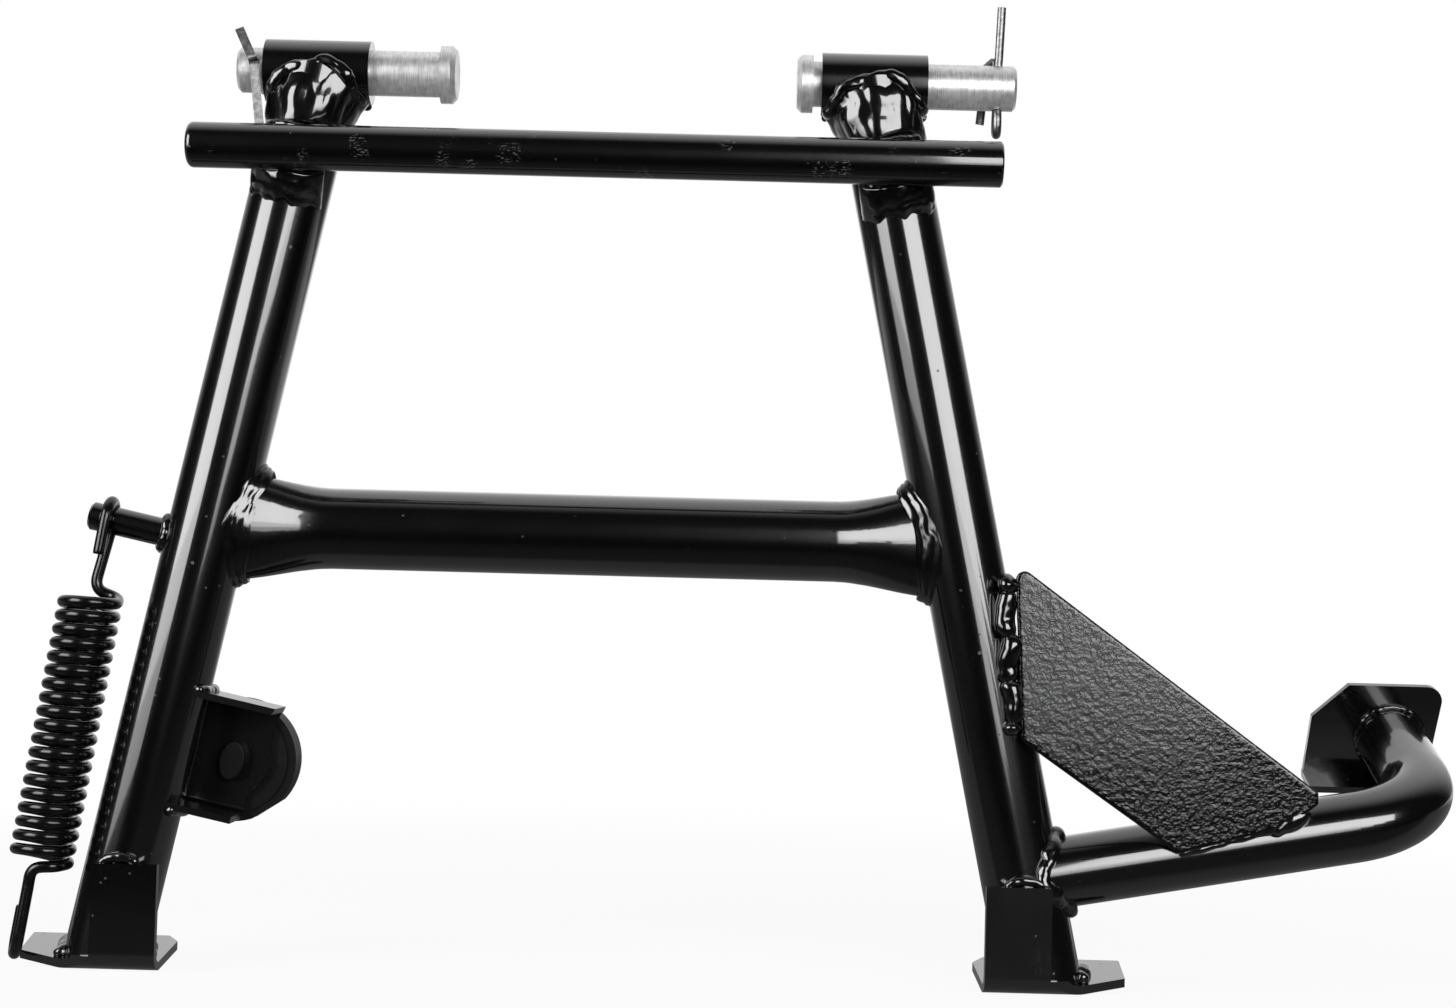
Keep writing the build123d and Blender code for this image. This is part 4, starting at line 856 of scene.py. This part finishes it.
# The spring's peg and the bumper's folded bracket are welded to the left leg with small beads: one
# round the peg, and one across the top and the foot of the bracket.
PEG_DROP = 168.6 * MM
PEG_RADIUS = 5.0 * MM
PEG_DOWN = down_leg(PEG_DROP)
PEG_BEAD_RADIUS = 1.9 * MM
BRACKET_TOP = 223.0 * MM
BRACKET_HEIGHT = 42.6 * MM
BRACKET_GAP = 0.4 * MM
BRACKET_BEAD_ENDS = (-10.0 * MM, 9.0 * MM)
BRACKET_BEAD_RADIUS = 2.0 * MM

loop = cope_loop(-1, PEG_RADIUS + 0.6 * MM, PEG_DOWN, 0.3 * MM, 32)
bead = weld("peg_loop", loop, PEG_BEAD_RADIUS, 67.0, closed=True, lumps=0.4)
placed_weld("peg_bead", "peg_weld", [bead])

beads = []
bracket_foot = BRACKET_TOP + BRACKET_HEIGHT
for down, seed in ((BRACKET_TOP - BRACKET_GAP, 71.0), (bracket_foot + BRACKET_GAP, 73.0)):
    arc = []
    for rear in along(*BRACKET_BEAD_ENDS, 20):
        inward = math.sqrt(LEG_RADIUS**2 - rear**2) + 0.5 * MM
        arc.append(leg_point(-1, -inward, rear, down))
    beads.append(weld(f"bracket_{seed}", arc, BRACKET_BEAD_RADIUS, seed, lumps=0.42))
placed_weld("bracket_bead", "bracket_weld", beads)


# The clevis pins are turned from bar and zinc plated: bright, with fine rings from the tool and
# patches where the plating is duller.
def turned_zinc(name):
    material = bpy.data.materials.new(name)
    tree = Tree(material)
    place = object_place(tree)
    rings = streaky(tree, place, stretch=(5200.0, 160.0, 160.0), detail=3.0)
    patch = cloudy(tree, place, scale=420.0, detail=5.0)
    dark = specks(tree, place, cells=420.0, size=0.13, seed=0.4)
    plating = 0.5 + rings.between(0.3, 0.7) * 0.4 + patch.between(0.35, 0.65) * 0.2 - dark * 0.3
    height = rings * (0.03 * MM) + patch * (0.01 * MM)
    cover(tree, {
        "Base Color": colour_mix(tree, plating.at_most(1.0), (0.24, 0.24, 0.245, 1), (0.96, 0.96, 0.97, 1)),
        "Metallic": 0.76,
        "Roughness": 0.3 + patch * 0.16 + dark * 0.2,
        "Normal": bumps(tree, height, strength=0.8),
    })
    return material


zinc = turned_zinc("turned_zinc")
finish(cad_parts["right_pivot_pin"], zinc)
finish(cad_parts["left_pivot_pin"], zinc)

# The split pins are folded from half-round wire, flat side in, with an eye at the fold. They are
# plain drawn steel, cut square at the ends.
WIRE_RADIUS = 1.6 * MM
WIRE_STEP = 0.6 * MM
EYE_RADIUS = 2.9
EYE_STRETCH = 1.5
EYE_NARROW = 0.82
EYE_OPENING = 0.35
EYE_GAP = 1.2
FOLD_RADIUS = 1.4 * MM
LEG_GAP = 0.12
PIN_RADIUS = 8.0
HOLE_INSET = 6.4 * MM
HALF_STEPS = 12
ARC_STEP = 0.5 * MM
NEARLY_STRAIGHT = math.pi / 2 - 0.01


def drawn_steel(name):
    material = bpy.data.materials.new(name)
    tree = Tree(material)
    place = object_place(tree)
    cloud = cloudy(tree, place, scale=700.0, detail=4.0)
    drawn = streaky(tree, place, stretch=(4200.0, 4200.0, 300.0), detail=2.0)
    paleness = cloud.between(0.3, 0.7) * 0.6 + drawn * 0.4
    cover(tree, {
        "Base Color": colour_mix(tree, paleness, grey(0.12), grey(0.42)),
        "Metallic": 1.0,
        "Roughness": 0.3 + cloud * 0.16,
        "Normal": bumps(tree, drawn * (0.01 * MM), strength=0.7),
    })
    return material


steel = drawn_steel("drawn_steel")


def rounded(points, radii):
    """A line through points with each corner turned on an arc."""
    line = [points[0]]
    for before, corner, after, radius in zip(points, points[1:], points[2:], radii):
        to_before = (before - corner).normalized()
        to_after = (after - corner).normalized()
        half_angle = to_before.angle(to_after) / 2
        if half_angle > NEARLY_STRAIGHT:
            line.append(corner)
            continue
        room = min((before - corner).length, (after - corner).length) * 0.49
        back = min(radius / math.tan(half_angle), room)
        centre = corner + (to_before + to_after).normalized() * back / math.cos(half_angle)
        first, last = corner + to_before * back - centre, corner + to_after * back - centre
        count = max(3, round(first.angle(last) * first.length / ARC_STEP))
        start_way, stop_way, reach = first.normalized(), last.normalized(), first.length
        for k in range(count + 1):
            line.append(centre + start_way.slerp(stop_way, k / count) * reach)
    line.append(points[-1])
    return line


def split_pin(name, node, origin, along_pin, hole_axis, leg_a, leg_b):
    """A split pin through the hole at origin.

    leg_a and leg_b are lists of (along, across, out) in millimetres from the clevis pin's axis."""
    cross = hole_axis.cross(along_pin)

    def at(u, v, w):
        return origin + (along_pin * u + cross * v + hole_axis * w) * MM

    eye_centre = -(PIN_RADIUS + EYE_GAP + EYE_RADIUS)
    eye = [
        at(0, -EYE_RADIUS * math.sin(a) * EYE_NARROW, eye_centre + EYE_RADIUS * EYE_STRETCH * math.cos(a))
        for a in along(EYE_OPENING, 2 * math.pi - EYE_OPENING, 30)
    ]
    first = [at(*p) for p in leg_a]
    second = [at(*p) for p in leg_b]
    stem_a = at(0, -LEG_GAP, -PIN_RADIUS)
    stem_b = at(0, LEG_GAP, -PIN_RADIUS)
    path = rounded(first[::-1] + [stem_a], [FOLD_RADIUS] * len(first))[:-1] + [stem_a] + eye + [stem_b]
    path += rounded([stem_b] + second, [FOLD_RADIUS] * len(second))[1:]
    path, _ = even_path(path, WIRE_STEP)
    frames = rings_along(path)
    middle = len(path) // 2
    inward = (at(0, 0, eye_centre) - path[middle]).normalized()
    _, side, other = frames[middle]
    shift = math.atan2(inward.dot(other), inward.dot(side))
    rings = []
    for centre, (tangent, side, other) in zip(path, frames):
        flat = side * math.cos(shift) + other * math.sin(shift)
        up = tangent.cross(flat)
        ring = []
        for a in along(-math.pi / 2, math.pi / 2, HALF_STEPS + 1):
            ring.append(centre - flat * WIRE_RADIUS * math.cos(a) + up * WIRE_RADIUS * math.sin(a))
        for k in range(1, 4):
            ring.append(centre + up * WIRE_RADIUS * (1 - k / 2))
        rings.append(ring)
    pin = skin_rings(name, rings, closed=False)
    pin.data.set_sharp_from_angle(angle=math.radians(50))
    finish(pin, steel)
    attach(pin, "pivot_pins")
    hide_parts(node)


def hole_at(node, side):
    """The centre of a clevis pin's cross hole, near its plain end."""
    low_corner, high_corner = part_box(node)
    end = high_corner[0] if side > 0 else low_corner[0]
    return Vector((end - side * HOLE_INSET, 0, 0))


split_pin(
    "right_split_wire", "right_split_pin", hole_at("right_pivot_pin", 1),
    Vector((1, 0, 0)), Vector((0, 0, 1)),
    [(0.1, 0, 8), (0.3, 0, 10.3), (1.0, 0, 29)],
    [(-0.1, 0, 8), (-0.4, 0.2, 11.3), (-3.0, 11.3, 10.3), (-5.0, 11.3, -11)],
)
left_roll = math.radians(10.0)
split_pin(
    "left_split_wire", "left_split_pin", hole_at("left_pivot_pin", -1),
    Vector((-1, 0, 0)), Vector((0, -math.cos(left_roll), math.sin(left_roll))),
    [(0.1, -0.1, 8), (0.2, -0.4, 10.3), (5.5, -11.5, 10.8)],
    [(-0.1, 0.1, 8), (-0.3, 0.4, 10.8), (-3.4, 23.0, 8.8)],
)

# The tension spring is wound from round wire: nineteen close turns, an open hook that goes over the
# peg's groove from behind, and an open eye below that leans on the foot plate's edge.
SPRING_WIRE = 4.1 * MM
COIL_RADIUS = 9.4 * MM
COIL_PITCH = 4.87 * MM
COIL_TURNS = 19
HOOK_GAP = 29.0 * MM
HOOK_TAIL = 13.0 * MM
HOOK_OFFSET = 1.2 * MM
HOOK_RADIUS = 6.45 * MM
GROOVE_REACH = 35.0 * MM
SPRING_TILT = math.radians(8.2)
SPRING_LEAN = math.radians(2.7)
EYE_HALF = 6.4 * MM
EYE_DROP = 33.5 * MM
EYE_TAIL = 16.0 * MM
FRONT_STRAND = -1.2 * MM
REAR_STRAND = -5.2 * MM
SPRING_STEP = 0.8 * MM
SMOOTHINGS = 5
CUT_END = 0.9


def spring_black(name):
    material = bpy.data.materials.new(name)
    tree = Tree(material)
    place = object_place(tree)
    cloud = cloudy(tree, place, scale=260.0, detail=5.0)
    fine = cloudy(tree, place, scale=1600.0, detail=3.0)
    worn = cloud.between(0.52, 0.72) * fine.between(0.4, 0.7)
    cover(tree, {
        "Base Color": colour_mix(tree, worn * 0.6, grey(0.002), grey(0.02)),
        "Roughness": 0.17 + cloud * 0.1 + worn * 0.14,
        "IOR": 1.45,
        "Coat Weight": 0.35,
        "Coat Roughness": 0.12,
        "Normal": bumps(tree, fine * (0.02 * MM), strength=0.6),
    })
    return material


coil_top = -HOOK_GAP
coil_bottom = coil_top - COIL_PITCH * COIL_TURNS
eye_bottom = coil_bottom - EYE_DROP
hook = [Vector((HOOK_OFFSET, -HOOK_RADIUS, -HOOK_TAIL)), Vector((HOOK_OFFSET, -HOOK_RADIUS, 0))]
hook += [
    Vector((HOOK_OFFSET, -HOOK_RADIUS * math.cos(a), HOOK_RADIUS * math.sin(a)))
    for a in along(0.1, math.pi - 0.1, 24)
]
hook += rounded(
    [
        Vector((HOOK_OFFSET, HOOK_RADIUS, 0)),
        Vector((-HOOK_OFFSET, HOOK_RADIUS, coil_top + 0.9 * SPRING_WIRE)),
        Vector((0.9 * COIL_RADIUS, HOOK_RADIUS, coil_top + 0.5 * SPRING_WIRE)),
        Vector((COIL_RADIUS, 0, coil_top)),
    ],
    [SPRING_WIRE, SPRING_WIRE],
)
coil = []
for a in along(2 * math.pi * COIL_TURNS, 0.0, COIL_TURNS * 60):
    height = coil_bottom + COIL_PITCH * a / (2 * math.pi)
    coil.append(Vector((COIL_RADIUS * math.cos(a), COIL_RADIUS * math.sin(a), height)))
eye = rounded(
    [
        Vector((COIL_RADIUS, 0, coil_bottom)),
        Vector((0.72 * COIL_RADIUS, -0.72 * COIL_RADIUS, coil_bottom - SPRING_WIRE / 4)),
        Vector((FRONT_STRAND, -0.76 * COIL_RADIUS, coil_bottom - 0.6 * SPRING_WIRE)),
        Vector((FRONT_STRAND, -EYE_HALF, coil_bottom - 2.2 * SPRING_WIRE)),
        Vector((FRONT_STRAND, -EYE_HALF, eye_bottom)),
        Vector((REAR_STRAND, EYE_HALF, eye_bottom)),
        Vector((REAR_STRAND, EYE_HALF, eye_bottom + EYE_TAIL)),
    ],
    [0.5 * SPRING_WIRE, 0.8 * SPRING_WIRE, 0.5 * SPRING_WIRE, 0.95 * EYE_HALF, 0.95 * EYE_HALF],
)
groove = leg_point(-1, GROOVE_REACH + HOOK_OFFSET, 0, PEG_DOWN)
spring_x = Vector((math.cos(SPRING_TILT), 0, -math.sin(SPRING_TILT)))
spring_z = Vector((
    math.sin(SPRING_TILT) * math.cos(SPRING_LEAN),
    math.sin(SPRING_LEAN),
    math.cos(SPRING_TILT) * math.cos(SPRING_LEAN),
))
spring_y = spring_z.cross(spring_x)
path, _ = even_path(hook + coil[1:-1] + eye, SPRING_STEP)
for _ in range(SMOOTHINGS):
    path = [path[0]] + [(a + b * 2 + c) / 4 for a, b, c in zip(path, path[1:], path[2:])] + [path[-1]]
path = [groove + spring_x * p.x + spring_y * p.y + spring_z * p.z for p in path]
rings = []
for i, (centre, (_, side, other)) in enumerate(zip(path, rings_along(path))):
    size = SPRING_WIRE / 2 * (CUT_END if i in (0, len(path) - 1) else 1.0)
    rings.append([
        centre + (side * math.cos(a) + other * math.sin(a)) * size
        for a in turns_round(16)
    ])
spring = skin_rings("wound_spring", rings, closed=False)
finish(spring, spring_black("spring_black"))
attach(spring, "spring")
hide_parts("return_spring")


# The bumper is moulded black rubber, dull, with a faint bloom and dust on its face. Its oval stem
# is pushed through the bracket from the rear.
def rubber(name):
    material = bpy.data.materials.new(name)
    tree = Tree(material)
    place = object_place(tree)
    bloom = cloudy(tree, place, scale=90.0, detail=5.0)
    fine = cloudy(tree, place, scale=1500.0, detail=3.0)
    dust = specks(tree, place, cells=500.0, size=0.16, seed=0.2)
    paleness = bloom.between(0.4, 0.7) * 0.4 + dust * 0.6
    cover(tree, {
        "Base Color": colour_mix(tree, paleness, grey(0.0015), grey(0.009)),
        "Roughness": 0.46 + bloom * 0.2,
        "Specular IOR Level": 0.22,
        "Normal": bumps(tree, fine * (0.04 * MM), strength=0.8),
    })
    return material


finish(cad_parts["rubber_bumper"], rubber("moulded_rubber"))
